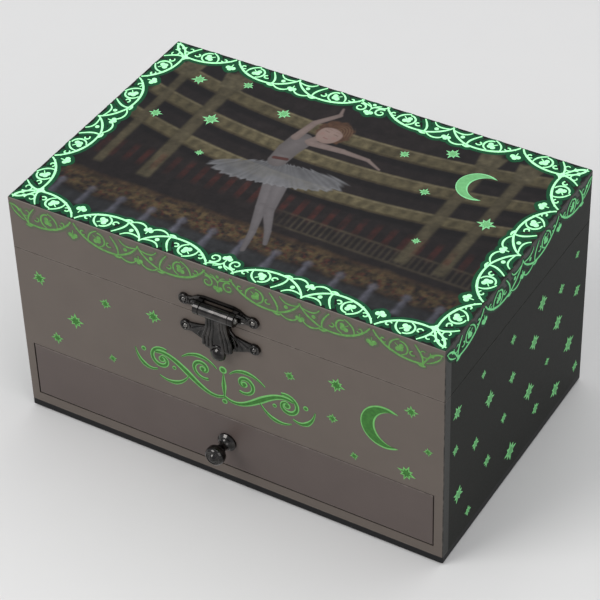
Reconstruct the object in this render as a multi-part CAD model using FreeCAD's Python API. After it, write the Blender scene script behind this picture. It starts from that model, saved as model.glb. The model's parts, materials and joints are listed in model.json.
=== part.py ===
import FreeCAD, Part

# Musical jewellery box: a board case with a drawer and a lined tray, a hinged lid with a mirror,
# an antique hasp, and a wind-up comb movement that turns a small ballerina.
# Millimetres. +X is the right of the box, +Y its back, +Z up. The origin is the middle of the
# underside, so the box stands on the plane Z = 0.

import math
import os

from FreeCAD import Vector

# ---------------------------------------------------------------- overall sizes
BOX_WIDTH = 190.0
BOX_DEPTH = 122.0
BOARD = 4.5  # side, front, back and top boards
FELT = 1.0  # sheet under the base
BASE = 3.0  # base board
CASE_HEIGHT = 79.2  # case boards, without the base
LID_HEIGHT = 24.1  # lid, with its top board
LID_GAP = 0.3  # between case rim and lid rim
EDGE_ROUND = 0.6  # outer edges of the boards

# ---------------------------------------------------------------- drawer
WINDOW_RAIL = 4.4  # board left below the drawer window
WINDOW_HEIGHT = 26.8
WINDOW_STILE = 3.9  # board left at each side of the window
DRAWER_REVEAL = 0.5  # gap all round the drawer front
DRAWER_FRONT = 4.2
DRAWER_SIDE = 3.0
DRAWER_SIDE_HEIGHT = 22.0
DRAWER_BOTTOM = 2.0
DRAWER_SIDE_CLEARANCE = 1.0
DRAWER_REAR_CLEARANCE = 6.5
SLIDE_GAP = 0.2  # drawer bottom over its runners
RUNNER_WIDTH = 10.0
DRAWER_LINING = 1.0
KNOB_REACH = 12.0
KNOB_RADIUS = 4.2
KNOB_ROSE_RADIUS = 4.1
KNOB_SCREW_RADIUS = 1.4
KNOB_SCREW_HEAD_RADIUS = 2.8
KNOB_SCREW_DEPTH = 6.0

# ---------------------------------------------------------------- tray
DECK = 3.0  # board between drawer and tray
DECK_CLEARANCE = 1.0  # deck above the drawer window
WALL_LINING = 1.5
FLOOR_LINING = 1.2
LINING_BELOW_RIM = 1.7
PARTITION = 2.5
FRONT_BAY_DEPTH = 57.0
STAGE_BAY_WIDTH = 60.0
STAGE_BAY_HEIGHT = 22.6  # above the deck
STAGE = 2.5
ROLL_COUNT = 4
ROLL_RADIUS = 6.0
ROLL_GAP = 0.3
LID_LINING = 1.2
LID_LINING_CLEARANCE = 0.2
MIRROR = 2.0
MIRROR_WIDTH = 146.0
MIRROR_DEPTH = 86.0

# ---------------------------------------------------------------- hinges
HINGE_OFFSET = 60.0  # hinge middle from the middle of the box
HINGE_WIDTH = 18.0
HINGE_LEAF = 0.8
HINGE_LEAF_HEIGHT = 11.0
HINGE_BARREL = 1.6
HINGE_PIN = 0.75
HINGE_KNUCKLE_GAP = 0.15
HINGE_STOP_ANGLE = 100.0  # where the two stop lugs meet
HINGE_STOP_REACH = 4.6
HINGE_STOP_WIDTH = 2.4
HINGE_SCREW_SPAN = 11.0
HINGE_SCREW_RISE = 7.4  # screw from the hinge axis
HINGE_SCREW_RADIUS = 0.7
HINGE_SCREW_HEAD = 1.4
HINGE_SCREW_LENGTH = 3.6

# ---------------------------------------------------------------- hasp
LATCH_EAR_SPAN = 30.4  # nail to nail
LATCH_EAR_RADIUS = 2.4
LATCH_SHEET = 1.0
LATCH_PLATE_RISE = 5.5  # plate nails above the lid rim
LATCH_BAR_HEIGHT = 8.6
LATCH_BARREL = 2.7
LATCH_KNUCKLE_WIDTH = 12.8  # tongue's part of the knuckle
LATCH_CHEEK = 17.4  # over the plate's two end knuckles
LATCH_TONGUE_WIDTH = 9.0
LATCH_PIN = 0.8
LATCH_PIN_HEAD = 1.4
KEEPER_DROP = 7.2  # keeper nails below the case rim
KEEPER_TOP_WIDTH = 9.6
KEEPER_HEIGHT = 12.6
KEEPER_RIBS = 3  # at each side
TONGUE_FOOT_WIDTH = 12.6
TONGUE_DROP = 20.0  # lug middle below the hasp's axis
TONGUE_SHEET = 1.3
TONGUE_GAP = 0.3  # tongue in front of the keeper
TONGUE_RIBS = 3  # at each side
LUG_RADIUS = 3.0
CATCH_RADIUS = 1.1
NAIL_RADIUS = 0.6
NAIL_HEAD = 1.15
NAIL_LENGTH = 3.6

# ---------------------------------------------------------------- movement
BED = 1.2
AXIS_HEIGHT = 10.6  # wheel axes above the bedplate
GREAT_TEETH, PINION_TEETH, TRAIN_MODULE = 32, 10, 0.6
TRAIN_TEETH, IDLER_TEETH, FINE_MODULE = 32, 8, 0.4
WORM_WHEEL_TEETH, WORM_MODULE = 20, 0.5
DRIVE_TEETH, CROWN_TEETH, CROWN_MODULE = 20, 24, 0.7
ARBOR = 1.5
KEY_SHAFT = 2.0
KEY_HOLE = 2.6
CYLINDER_SHAFT = 1.0
IDLER_SHAFT = 0.8
GOVERNOR_SHAFT = 0.6
BEARING_GAP = 0.06
BARREL_DRUM = 9.2
CYLINDER_DRUM = 5.6
CYLINDER_PIN_HEIGHT = 0.5
COMB_TINES = 18
COMB_PITCH = 0.68
COMB_SLOT = 0.22
COMB_SHEET = 0.8
COMB_CLEARANCE = 0.3
WORM_RADIUS = 1.3
FAN_RADIUS = 4.5
STOP_WIRE = 0.45
STOP_TRAVEL = 1.5

# ---------------------------------------------------------------- dancer
SPINDLE = 1.5
TURNTABLE_RADIUS = 8.0
TURNTABLE = 1.2
TURNTABLE_GAP = 0.6
FIGURE_SPRING_HEIGHT = 5.0
FIGURE_HEADROOM = 2.8  # head of the figure below the mirror
TUTU_RADIUS = 8.6

# ---------------------------------------------------------------- worked-out levels and faces
HALF_W = BOX_WIDTH / 2
HALF_D = BOX_DEPTH / 2
IN_W = HALF_W - BOARD
IN_D = HALF_D - BOARD
Z_BASE = FELT
Z_CASE = Z_BASE + BASE
Z_RIM = Z_CASE + CASE_HEIGHT
Z_LID = Z_RIM + LID_GAP
Z_TOP = Z_LID + LID_HEIGHT
Z_LID_CEILING = Z_TOP - BOARD
Z_WINDOW = Z_CASE + WINDOW_RAIL
Z_WINDOW_TOP = Z_WINDOW + WINDOW_HEIGHT
WINDOW_HALF = HALF_W - WINDOW_STILE
Z_DECK = Z_WINDOW_TOP + DECK_CLEARANCE
Z_TRAY = Z_DECK + DECK
Z_TRAY_LINED = Z_TRAY + FLOOR_LINING
Z_STAGE = Z_TRAY + STAGE_BAY_HEIGHT
Z_STAGE_TOP = Z_STAGE + STAGE
LINED_W = IN_W - WALL_LINING
LINED_D = IN_D - WALL_LINING
Y_WALL = -LINED_D + FRONT_BAY_DEPTH  # front face of the long partition
Y_BAY = Y_WALL + PARTITION
STAGE_HALF = STAGE_BAY_WIDTH / 2
Z_HINGE = (Z_RIM + Z_LID) / 2
Y_HINGE = HALF_D + HINGE_BARREL
HINGE_XS = (-HINGE_OFFSET, HINGE_OFFSET)

# movement layout, measured from the back of the long partition and the deck
Y_DRIVE = Y_BAY + 2.7  # crown drive pinion
DRIVE_WIDTH = 1.6
Y_WORM_WHEEL = Y_DRIVE + 2.7
WHEEL_WIDTH = 1.4
Y_CHEEK = Y_WORM_WHEEL + 2.1
CHEEK = 1.5
Y_TRAIN = Y_CHEEK + CHEEK + 0.7
Y_DRUM = Y_TRAIN + WHEEL_WIDTH + 0.9
DRUM_LENGTH = 13.5
Y_GREAT = Y_DRUM + DRUM_LENGTH + 1.0
GREAT_WIDTH = 2.0
BARREL_LENGTH = 9.0
Y_REAR_CHEEK = Y_GREAT + GREAT_WIDTH + BARREL_LENGTH + 1.0
Y_BED_END = Y_REAR_CHEEK + CHEEK + 1.5
Z_BED_TOP = Z_TRAY + BED
Z_AXIS = Z_BED_TOP + AXIS_HEIGHT
X_CYLINDER = 0.0
X_BARREL = X_CYLINDER - TRAIN_MODULE * (GREAT_TEETH + PINION_TEETH) / 2
X_IDLER = X_CYLINDER + FINE_MODULE * (TRAIN_TEETH + IDLER_TEETH) / 2
X_WORM = X_IDLER + WORM_MODULE * WORM_WHEEL_TEETH / 2 + WORM_RADIUS
Y_WORM = Y_WORM_WHEEL + WHEEL_WIDTH / 2
CROWN_RADIUS = CROWN_MODULE * CROWN_TEETH / 2
Y_SPINDLE = Y_DRIVE + DRIVE_WIDTH / 2 + CROWN_RADIUS
Z_CROWN_PITCH = Z_AXIS + CROWN_MODULE * DRIVE_TEETH / 2
Z_CROWN = Z_CROWN_PITCH + 1.25 * CROWN_MODULE  # underside of the crown's disc
CROWN_DISC = 1.1
Z_BRIDGE = Z_CROWN + CROWN_DISC + 0.4
BRIDGE = 1.0
Y_BRIDGE_END = Y_SPINDLE + 3.0
POST_X = X_WORM + FAN_RADIUS + 1.4
POST = 1.3
COMB_BACK = 17.0
COMB_END = 23.5
X_STOP = 24.0
Y_STOP = LINED_D - 4.0
Z_STOP_RUN = Z_AXIS + 7.2
STOP_END_GAP = 0.3
Z_TURNTABLE = Z_STAGE_TOP + TURNTABLE_GAP
Z_FIGURE = Z_TURNTABLE + TURNTABLE + FIGURE_SPRING_HEIGHT
FIGURE_HEIGHT = Z_LID_CEILING - LID_LINING - MIRROR - FIGURE_HEADROOM - Z_FIGURE

# latch layout
Z_PLATE = Z_LID + LATCH_PLATE_RISE
Y_LATCH = -HALF_D - LATCH_BARREL - 0.1
Z_KEEPER = Z_RIM - KEEPER_DROP
Z_LUG = Z_PLATE - TONGUE_DROP
KEEPER_FACE = -HALF_D - LATCH_SHEET - 0.5  # front of the keeper's ribs and bead
EAR_XS = (-LATCH_EAR_SPAN / 2, LATCH_EAR_SPAN / 2)


# ---------------------------------------------------------------- helpers
def block(x0, x1, y0, y1, z0, z1):
    return Part.makeBox(x1 - x0, y1 - y0, z1 - z0, Vector(x0, y0, z0))


def rod(axis, radius, start, length):
    """Round bar from a start point along X, Y or Z."""
    direction = {"x": Vector(1, 0, 0), "y": Vector(0, 1, 0), "z": Vector(0, 0, 1)}[axis]
    return Part.makeCylinder(radius, length, Vector(*start), direction)


def slab(points, thickness, place):
    """Flat plate: an outline in the XY plane, made thicker along Z, then put in place."""
    wire = Part.makePolygon([Vector(x, y, 0) for x, y in points + points[:1]])
    plate = Part.Face(wire).extrude(Vector(0, 0, thickness))
    plate.Placement = place
    return plate


def upright(y):
    """Placement that stands an XY outline up, so that its Y is the box's Z and its front faces -Y."""
    return FreeCAD.Placement(Vector(0, y, 0), FreeCAD.Rotation(Vector(1, 0, 0), 90))


def round_edges(shape, radius, wanted):
    """Fillets the straight edges whose middle point passes the test."""
    edges = [e for e in shape.Edges if wanted(e.CenterOfMass, e.Vertexes[0].Point - e.Vertexes[-1].Point)]
    return shape.makeFillet(radius, edges)


def is_outer_upright(middle, run):
    corner = abs(abs(middle.x) - HALF_W) < 0.01 and abs(abs(middle.y) - HALF_D) < 0.01
    return corner and abs(run.z) > 0.01


def drill(shape, cutters):
    for cutter in cutters:
        shape = shape.cut(cutter)
    return shape


def join(pieces):
    """Fuses pieces into one solid without seams."""
    whole = pieces[0]
    for piece in pieces[1:]:
        whole = whole.fuse(piece)
    return whole.removeSplitter()


def save(name, *solids):
    shape = solids[0] if len(solids) == 1 else Part.makeCompound(list(solids))
    shape.exportStep(f"parts/{name}.step")


# ---------------------------------------------------------------- fastener places, shared by boards and plates
def hinge_screw_points(side):
    """Screw middles on one leaf of each hinge: side is +1 for the lid leaf and -1 for the case leaf."""
    spans = (-HINGE_SCREW_SPAN / 2, HINGE_SCREW_SPAN / 2)
    return [(x + dx, Z_HINGE + side * HINGE_SCREW_RISE) for x in HINGE_XS for dx in spans]


def nail_points(z):
    return [(x, z) for x in EAR_XS]


def nail_holes(z):
    length = NAIL_LENGTH + LATCH_SHEET
    return [rod("y", NAIL_RADIUS, (x, -HALF_D - LATCH_SHEET, z), length) for x, z in nail_points(z)]


def screw_holes(side):
    length = HINGE_SCREW_LENGTH + HINGE_LEAF
    start = HALF_D + HINGE_LEAF - length
    return [rod("y", HINGE_SCREW_RADIUS, (x, start, z), length) for x, z in hinge_screw_points(side)]


def bed_screw_points():
    """Screws that hold the bedplate to the deck."""
    left, right = X_BARREL - 8.0, X_WORM + 5.0
    return [(left, Y_CHEEK - 2.5), (left, Y_BED_END - 2.5), (right, Y_BED_END - 4.0)]


# ---------------------------------------------------------------- case
def make_case():
    save("base_felt", block(-HALF_W + 2, HALF_W - 2, -HALF_D + 2, HALF_D - 2, 0, Z_BASE))
    base = block(-HALF_W, HALF_W, -HALF_D, HALF_D, Z_BASE, Z_CASE)
    save("base_panel", round_edges(base, EDGE_ROUND, is_outer_upright))

    front = block(-HALF_W, HALF_W, -HALF_D, -IN_D, Z_CASE, Z_RIM)
    window = block(-WINDOW_HALF, WINDOW_HALF, -HALF_D, -IN_D, Z_WINDOW, Z_WINDOW_TOP)
    front = round_edges(front, EDGE_ROUND, is_outer_upright).cut(window)
    save("case_front", drill(front, nail_holes(Z_KEEPER)))

    for name, side in (("case_left", -1), ("case_right", 1)):
        x0, x1 = sorted((side * IN_W, side * HALF_W))
        board = block(x0, x1, -IN_D, HALF_D, Z_CASE, Z_RIM)
        save(name, round_edges(board, EDGE_ROUND, is_outer_upright))

    back = block(-IN_W, IN_W, IN_D, HALF_D, Z_CASE, Z_RIM)
    key_hole = rod("y", KEY_HOLE, (X_BARREL, IN_D, Z_AXIS), BOARD)
    save("case_back", drill(back, [key_hole] + screw_holes(-1)))

    runner = block(IN_W - RUNNER_WIDTH, IN_W, -IN_D, IN_D, Z_CASE, Z_WINDOW)
    other = block(-IN_W, -IN_W + RUNNER_WIDTH, -IN_D, IN_D, Z_CASE, Z_WINDOW)
    save("drawer_runners", other, runner)

    deck = block(-IN_W, IN_W, -IN_D, IN_D, Z_DECK, Z_TRAY)
    holes = [rod("z", 1.0, (x, y, Z_DECK), DECK) for x, y in bed_screw_points()]
    save("compartment_floor", drill(deck, holes))


def make_linings():
    low, high = Z_TRAY, Z_RIM - LINING_BELOW_RIM
    save("lining_front", block(-IN_W, IN_W, -IN_D, -LINED_D, low, high))
    back = block(-IN_W, IN_W, LINED_D, IN_D, low, high)
    save("lining_back", back.cut(rod("y", KEY_HOLE, (X_BARREL, LINED_D, Z_AXIS), WALL_LINING)))
    sides = [block(*sorted((s * LINED_W, s * IN_W)), -LINED_D, LINED_D, low, high) for s in (-1, 1)]
    save("lining_sides", *sides)

    floor = block(-LINED_W, LINED_W, -LINED_D, LINED_D, Z_TRAY, Z_TRAY_LINED)
    bay_half = STAGE_HALF + PARTITION
    bay = block(-bay_half, bay_half, Y_WALL, LINED_D, Z_TRAY, Z_TRAY_LINED)
    save("floor_lining", floor.cut(bay))

    long_wall = block(-LINED_W, LINED_W, Y_WALL, Y_BAY, Z_TRAY_LINED, Z_STAGE)
    foot = block(-bay_half, bay_half, Y_WALL, Y_BAY, Z_TRAY, Z_TRAY_LINED)
    save("partition_long", join([long_wall, foot]))
    walls = [
        block(*sorted((s * STAGE_HALF, s * bay_half)), Y_BAY, LINED_D, Z_TRAY, Z_STAGE) for s in (-1, 1)
    ]
    save("partition_short", *walls)

    stage = block(-bay_half, bay_half, Y_WALL, LINED_D, Z_STAGE, Z_STAGE_TOP)
    spindle_hole = rod("z", SPINDLE + 0.7, (X_CYLINDER, Y_SPINDLE, Z_STAGE), STAGE)
    stop_hole = rod("z", STOP_WIRE + 0.5, (X_STOP, Y_STOP, Z_STAGE), STAGE)
    save("stage_panel", drill(stage, [spindle_hole, stop_hole]))


def make_ring_rolls():
    """Padded rolls side by side in the left bay, each flattened where it rests."""
    length = LINED_W - STAGE_HALF - PARTITION - 1.0
    pitch = (LINED_D - Y_BAY) / ROLL_COUNT
    radius = min(ROLL_RADIUS, pitch / 2 - ROLL_GAP)
    x0 = -LINED_W + 0.5
    rolls = []
    for n in range(ROLL_COUNT):
        y = Y_BAY + pitch * (n + 0.5)
        centre = Z_TRAY_LINED + radius - 0.6
        roll = rod("x", radius, (x0, y, centre), length)
        rolls.append(roll.cut(block(x0, x0 + length, y - radius, y + radius, Z_TRAY_LINED - 2, Z_TRAY_LINED)))
    save("ring_rolls", *rolls)


# ---------------------------------------------------------------- lid
def make_lid():
    def is_lid_round(middle, run):
        rim = abs(abs(middle.x) - HALF_W) < 0.01 or abs(abs(middle.y) - HALF_D) < 0.01
        return is_outer_upright(middle, run) or (rim and abs(middle.z - Z_TOP) < 0.01)

    top = block(-HALF_W, HALF_W, -HALF_D, HALF_D, Z_LID_CEILING, Z_TOP)
    save("lid_top", round_edges(top, EDGE_ROUND, is_lid_round))

    front = block(-HALF_W, HALF_W, -HALF_D, -IN_D, Z_LID, Z_LID_CEILING)
    save("lid_front", drill(round_edges(front, EDGE_ROUND, is_outer_upright), nail_holes(Z_PLATE)))
    save("lid_back", drill(block(-IN_W, IN_W, IN_D, HALF_D, Z_LID, Z_LID_CEILING), screw_holes(1)))
    for name, side in (("lid_left", -1), ("lid_right", 1)):
        x0, x1 = sorted((side * IN_W, side * HALF_W))
        board = block(x0, x1, -IN_D, HALF_D, Z_LID, Z_LID_CEILING)
        save(name, round_edges(board, EDGE_ROUND, is_outer_upright))

    half_w, half_d = IN_W - LID_LINING_CLEARANCE, IN_D - LID_LINING_CLEARANCE
    z_lining = Z_LID_CEILING - LID_LINING
    save("lid_lining", block(-half_w, half_w, -half_d, half_d, z_lining, Z_LID_CEILING))
    mirror = block(
        -MIRROR_WIDTH / 2, MIRROR_WIDTH / 2, -MIRROR_DEPTH / 2, MIRROR_DEPTH / 2, z_lining - MIRROR, z_lining
    )
    save("mirror", mirror.makeChamfer(0.5, [e for e in mirror.Edges if e.CenterOfMass.z < z_lining - MIRROR + 0.01]))


# ---------------------------------------------------------------- hinges
def hinge_leaf(x, side, knuckles):
    """Leaf of one butt hinge: plate, knuckles and a stop lug at each end. side is +1 for the lid leaf."""
    half = HINGE_WIDTH / 2
    relief = HINGE_BARREL + 0.25
    z0, z1 = sorted((Z_HINGE + side * relief, Z_HINGE + side * (relief + HINGE_LEAF_HEIGHT - 1.5)))
    pieces = [block(x - half, x + half, HALF_D, HALF_D + HINGE_LEAF, z0, z1)]
    for start, end in knuckles:
        pieces.append(rod("x", HINGE_BARREL, (x + start, Y_HINGE, Z_HINGE), end - start))
        web0, web1 = sorted((Z_HINGE, Z_HINGE + side * (relief + 0.1)))
        pieces.append(block(x + start, x + end, HALF_D, HALF_D + HINGE_LEAF, web0, web1))
    # The lugs' stop faces point out from the axis. Half a degree short at each leaf leaves them just clear.
    share = 0.4 if side < 0 else 0.6
    angle = math.radians(side * (HINGE_STOP_ANGLE * share + 0.5))
    near, far = HINGE_BARREL + 0.25, HINGE_STOP_REACH
    back = HALF_D + HINGE_LEAF / 2 - Y_HINGE
    face = [(math.cos(angle) * r, math.sin(angle) * r) for r in (near, far)]
    outline = face + [(back, side * (far + 1.6)), (back, side * near)]
    for edge in (-half, half - HINGE_STOP_WIDTH):
        wire = Part.makePolygon([Vector(x + edge, Y_HINGE + a, Z_HINGE + b) for a, b in outline + outline[:1]])
        pieces.append(Part.Face(wire).extrude(Vector(HINGE_STOP_WIDTH, 0, 0)))
    leaf = join(pieces)
    bore = rod("x", HINGE_PIN + (BEARING_GAP if side > 0 else 0), (x - half, Y_HINGE, Z_HINGE), HINGE_WIDTH)
    return leaf.cut(bore)


def countersunk_screw(x, z):
    length = HINGE_SCREW_LENGTH + HINGE_LEAF
    outer = HALF_D + HINGE_LEAF
    shank = rod("y", HINGE_SCREW_RADIUS, (x, outer - length, z), length)
    head = Part.makeSphere(HINGE_SCREW_HEAD * 1.3, Vector(x, outer - HINGE_SCREW_HEAD * 0.85, z))
    head = head.common(block(x - 3, x + 3, outer, outer + 2, z - 3, z + 3))
    slot = block(x - 0.16, x + 0.16, outer + 0.25, outer + 2, z - 3, z + 3)
    return shank.fuse(head).cut(slot)


def make_hinges():
    half = HINGE_WIDTH / 2
    lug = HINGE_STOP_WIDTH + HINGE_KNUCKLE_GAP
    split = half / 2.6
    outer = [(-half + lug, -split - HINGE_KNUCKLE_GAP), (split + HINGE_KNUCKLE_GAP, half - lug)]
    middle = [(-split, split)]
    holes = {side: screw_holes(side) for side in (-1, 1)}
    save("hinge_case_leaves", *[drill(hinge_leaf(x, -1, outer), holes[-1]) for x in HINGE_XS])
    save("hinge_lid_leaves", *[drill(hinge_leaf(x, 1, middle), holes[1]) for x in HINGE_XS])
    pin_half = half - lug + 0.4
    save("hinge_pins", *[rod("x", HINGE_PIN, (x - pin_half, Y_HINGE, Z_HINGE), 2 * pin_half) for x in HINGE_XS])
    save("hinge_case_screws", *[countersunk_screw(x, z) for x, z in hinge_screw_points(-1)])
    save("hinge_lid_screws", *[countersunk_screw(x, z) for x, z in hinge_screw_points(1)])


# ---------------------------------------------------------------- hasp
def nail(x, z):
    face = -HALF_D - LATCH_SHEET
    shank = rod("y", NAIL_RADIUS, (x, face, z), NAIL_LENGTH + LATCH_SHEET)
    head = Part.makeSphere(NAIL_HEAD, Vector(x, face + 0.35, z))
    return shank.fuse(head.common(block(x - 2, x + 2, face - 2, face, z - 2, z + 2)))


def ear(x, z):
    """Round eared end of a latch plate, with a raised rim."""
    return join([
        rod("y", LATCH_EAR_RADIUS, (x, -HALF_D - LATCH_SHEET, z), LATCH_SHEET),
        Part.makeTorus(LATCH_EAR_RADIUS - 0.6, 0.5, Vector(x, -HALF_D - LATCH_SHEET, z), Vector(0, 1, 0)).common(
            block(x - 4, x + 4, -HALF_D - 3, -HALF_D, z - 4, z + 4)
        ),
    ])


def flute(points, narrow, wide, y):
    """Bead along a bent line on a plate, from a narrow start to a wide, round end."""
    radii = [narrow + (wide - narrow) * n / (len(points) - 1) for n in range(len(points))]
    places = [Vector(x, y, z) for x, z in points]
    pieces = [Part.makeSphere(radius, place) for radius, place in zip(radii, places)]
    for a, b, r0, r1 in zip(places, places[1:], radii, radii[1:]):
        pieces.append(Part.makeCone(r0, r1, (b - a).Length, a, b - a))
    return pieces


def both_sides(points):
    """An outline's left half, from top to bottom, completed with its mirror image."""
    return points + [(-x, z) for x, z in reversed(points) if x != 0]


def make_latch_plate():
    tall = LATCH_BAR_HEIGHT / 2
    knuckle, cheek = LATCH_KNUCKLE_WIDTH / 2 + 0.15, LATCH_CHEEK / 2
    ear_x, neck = LATCH_EAR_SPAN / 2, LATCH_EAR_RADIUS * 0.72
    left = [(-cheek + 2.0, Z_PLATE + tall), (-cheek - 0.6, Z_PLATE + tall * 0.86), (-cheek - 3.2, Z_PLATE + neck + 0.3),
            (-ear_x, Z_PLATE + neck), (-ear_x, Z_PLATE - neck), (-cheek - 2.8, Z_PLATE - neck - 0.2),
            (-cheek - 0.4, Z_PLATE - tall * 0.76), (-cheek + 2.0, Z_PLATE - tall * 0.8)]
    plate = [slab(both_sides(left), LATCH_SHEET, upright(-HALF_D))]
    plate += [ear(x, Z_PLATE) for x in EAR_XS]
    front = block(-40, 40, -HALF_D - 9, -HALF_D, Z_PLATE - 6, Z_PLATE + 6)
    for side in (-1, 1):
        x0, x1 = sorted((side * knuckle, side * cheek))
        plate.append(rod("x", LATCH_BARREL, (x0, Y_LATCH, Z_PLATE), x1 - x0))
        plate.append(block(x0, x1, Y_LATCH, -HALF_D, Z_PLATE - LATCH_BARREL * 0.9, Z_PLATE + LATCH_BARREL * 0.9))
        crest = [(side * (cheek - 0.6), Z_PLATE), (side * (cheek + 2.2), Z_PLATE), (side * (ear_x - 2.6), Z_PLATE)]
        plate += [bead.common(front) for bead in flute(crest[::-1], 0.7, LATCH_BARREL * 0.84, -HALF_D - 0.9)]
    relief = LATCH_BARREL + 0.35
    window = block(-knuckle, knuckle, -HALF_D - 9, -HALF_D, Z_PLATE - LATCH_BAR_HEIGHT, Z_PLATE + relief)
    bore = rod("x", LATCH_PIN, (-cheek - 4, Y_LATCH, Z_PLATE), 2 * cheek + 8)
    seats = [rod("x", LATCH_PIN_HEAD + 0.05, (x, Y_LATCH, Z_PLATE), 4) for x in (cheek - 0.3, -cheek + 0.3 - 4)]
    return drill(join(plate), [window, bore] + seats + nail_holes(Z_PLATE))


def make_latch_pin():
    """Riveted pin: its two round heads sit in seats at the ends of the plate's knuckles."""
    cheek = LATCH_CHEEK / 2 - 0.3
    pieces = [rod("x", LATCH_PIN, (-cheek, Y_LATCH, Z_PLATE), 2 * cheek)]
    for side in (-1, 1):
        head = Part.makeSphere(LATCH_PIN_HEAD, Vector(side * cheek, Y_LATCH, Z_PLATE))
        x0, x1 = sorted((side * cheek, side * (cheek + 2)))
        pieces.append(head.common(block(x0, x1, Y_LATCH - 3, Y_LATCH + 3, Z_PLATE - 3, Z_PLATE + 3)))
    return pieces[0].multiFuse(pieces[1:])


def make_keeper():
    """Bell-shaped plate on the case: a waist under the tongue, flutes that bend out to two eared ends."""
    top, foot = Z_RIM - 0.3, Z_RIM - KEEPER_HEIGHT
    ear_x, neck = LATCH_EAR_SPAN / 2, LATCH_EAR_RADIUS * 0.8
    waist = KEEPER_TOP_WIDTH / 2
    left = [(-waist, top), (-waist - 0.3, top - 2.2), (-waist - 1.7, top - 3.7), (-waist - 4.4, Z_KEEPER + 2.5),
            (-ear_x + 2.4, Z_KEEPER + neck), (-ear_x, Z_KEEPER + neck), (-ear_x, Z_KEEPER - neck),
            (-ear_x + 2.6, Z_KEEPER - neck), (-waist - 4.2, Z_KEEPER - 3.4), (-waist - 0.8, foot + 0.7), (-2.5, foot)]
    pieces = [slab(both_sides(left), LATCH_SHEET, upright(-HALF_D))] + [ear(x, Z_KEEPER) for x in EAR_XS]
    for n in range(KEEPER_RIBS):
        share = n / (KEEPER_RIBS - 1)
        end_x = waist + 2.4 + (ear_x - LATCH_EAR_RADIUS - 0.8 - waist - 2.4) * share
        line = [(waist - 0.5 + 0.2 * share, top - 1.0 - 0.9 * share), (waist + 0.6 + 1.1 * share, top - 3.6 - 0.7 * share),
                (waist + 1.7 + 3.3 * share, Z_KEEPER + 0.2 + 1.0 * share), (end_x, Z_KEEPER - 3.5 + 3.2 * share)]
        for side in (-1, 1):
            pieces += flute([(side * x, z) for x, z in line], 0.34, 0.62, -HALF_D - LATCH_SHEET + 0.15)
    keeper = join(pieces).common(block(-30, 30, -HALF_D - 6, -HALF_D, Z_CASE, Z_RIM))
    bead = Part.makeSphere(CATCH_RADIUS, Vector(0, KEEPER_FACE + CATCH_RADIUS - 0.7, Z_KEEPER + 1.5))
    bead = bead.common(block(-3, 3, -HALF_D - 6, -HALF_D, Z_CASE, Z_RIM))
    return drill(join([keeper, bead]), nail_holes(Z_KEEPER))


def make_tongue():
    """Swinging hasp: a broad knuckle on the pin, a fluted bell and a domed finger lug."""
    half, neck, foot = LATCH_KNUCKLE_WIDTH / 2, LATCH_TONGUE_WIDTH / 2, TONGUE_FOOT_WIDTH / 2
    back = KEEPER_FACE - TONGUE_GAP
    z_low = Z_LUG + 1.6
    drop = Z_PLATE - z_low
    knuckle = rod("x", LATCH_BARREL, (-half, Y_LATCH, Z_PLATE), 2 * half)
    knuckle = knuckle.makeFillet(0.35, [e for e in knuckle.Edges if len(e.Vertexes) == 1])
    left = [(-neck, Z_PLATE - 0.5), (-neck, Z_PLATE - 0.24 * drop), (-neck - 0.5, Z_PLATE - 0.45 * drop),
            (-foot + 0.3, Z_PLATE - 0.68 * drop), (-foot, Z_PLATE - 0.86 * drop), (-foot + 1.2, z_low + 0.5), (-2.6, z_low)]
    pieces = [knuckle, slab(both_sides(left), TONGUE_SHEET, upright(back))]
    for n in range(TONGUE_RIBS):
        share = (n + 1) / TONGUE_RIBS
        line = [(neck * 0.84 * share, Z_PLATE - 0.12 * drop), (neck * 0.9 * share, Z_PLATE - 0.4 * drop),
                (foot * 0.86 * share + 0.5, Z_PLATE - 0.7 * drop), (foot * 0.8 * share + 0.9, z_low + 0.5 + 1.5 * share)]
        for side in (-1, 1):
            pieces += flute([(side * x, z) for x, z in line], 0.5, 0.78, back - TONGUE_SHEET + 0.2)
    face = back - TONGUE_SHEET
    lug = rod("y", LUG_RADIUS, (0, face, Z_LUG), TONGUE_SHEET)
    dome = Part.makeSphere(LUG_RADIUS * 1.15, Vector(0, face + LUG_RADIUS * 0.55, Z_LUG))
    arch = Part.makeTorus(LUG_RADIUS - 0.35, 0.6, Vector(0, face, Z_LUG + 1.4), Vector(0, 1, 0))
    in_front = block(-8, 8, face - 5, face + 0.5, Z_LUG - 6, Z_LUG + 8)
    tongue = join(pieces + [lug, dome.common(in_front), arch.common(in_front)])
    groove = block(-CATCH_RADIUS - 0.4, CATCH_RADIUS + 0.4, back - 0.75, back + 3,
                   Z_LUG - 2 * LUG_RADIUS, Z_KEEPER + 1.5 + CATCH_RADIUS + 0.4)
    tongue = tongue.cut(groove)
    return tongue.cut(rod("x", LATCH_PIN + BEARING_GAP, (-half, Y_LATCH, Z_PLATE), 2 * half))


def make_hasp():
    save("latch_plate", make_latch_plate())
    save("latch_plate_nails", *[nail(x, z) for x, z in nail_points(Z_PLATE)])
    save("latch_pin", make_latch_pin())
    save("latch_keeper", make_keeper())
    save("latch_keeper_nails", *[nail(x, z) for x, z in nail_points(Z_KEEPER)])
    save("latch_hasp", make_tongue())


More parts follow.
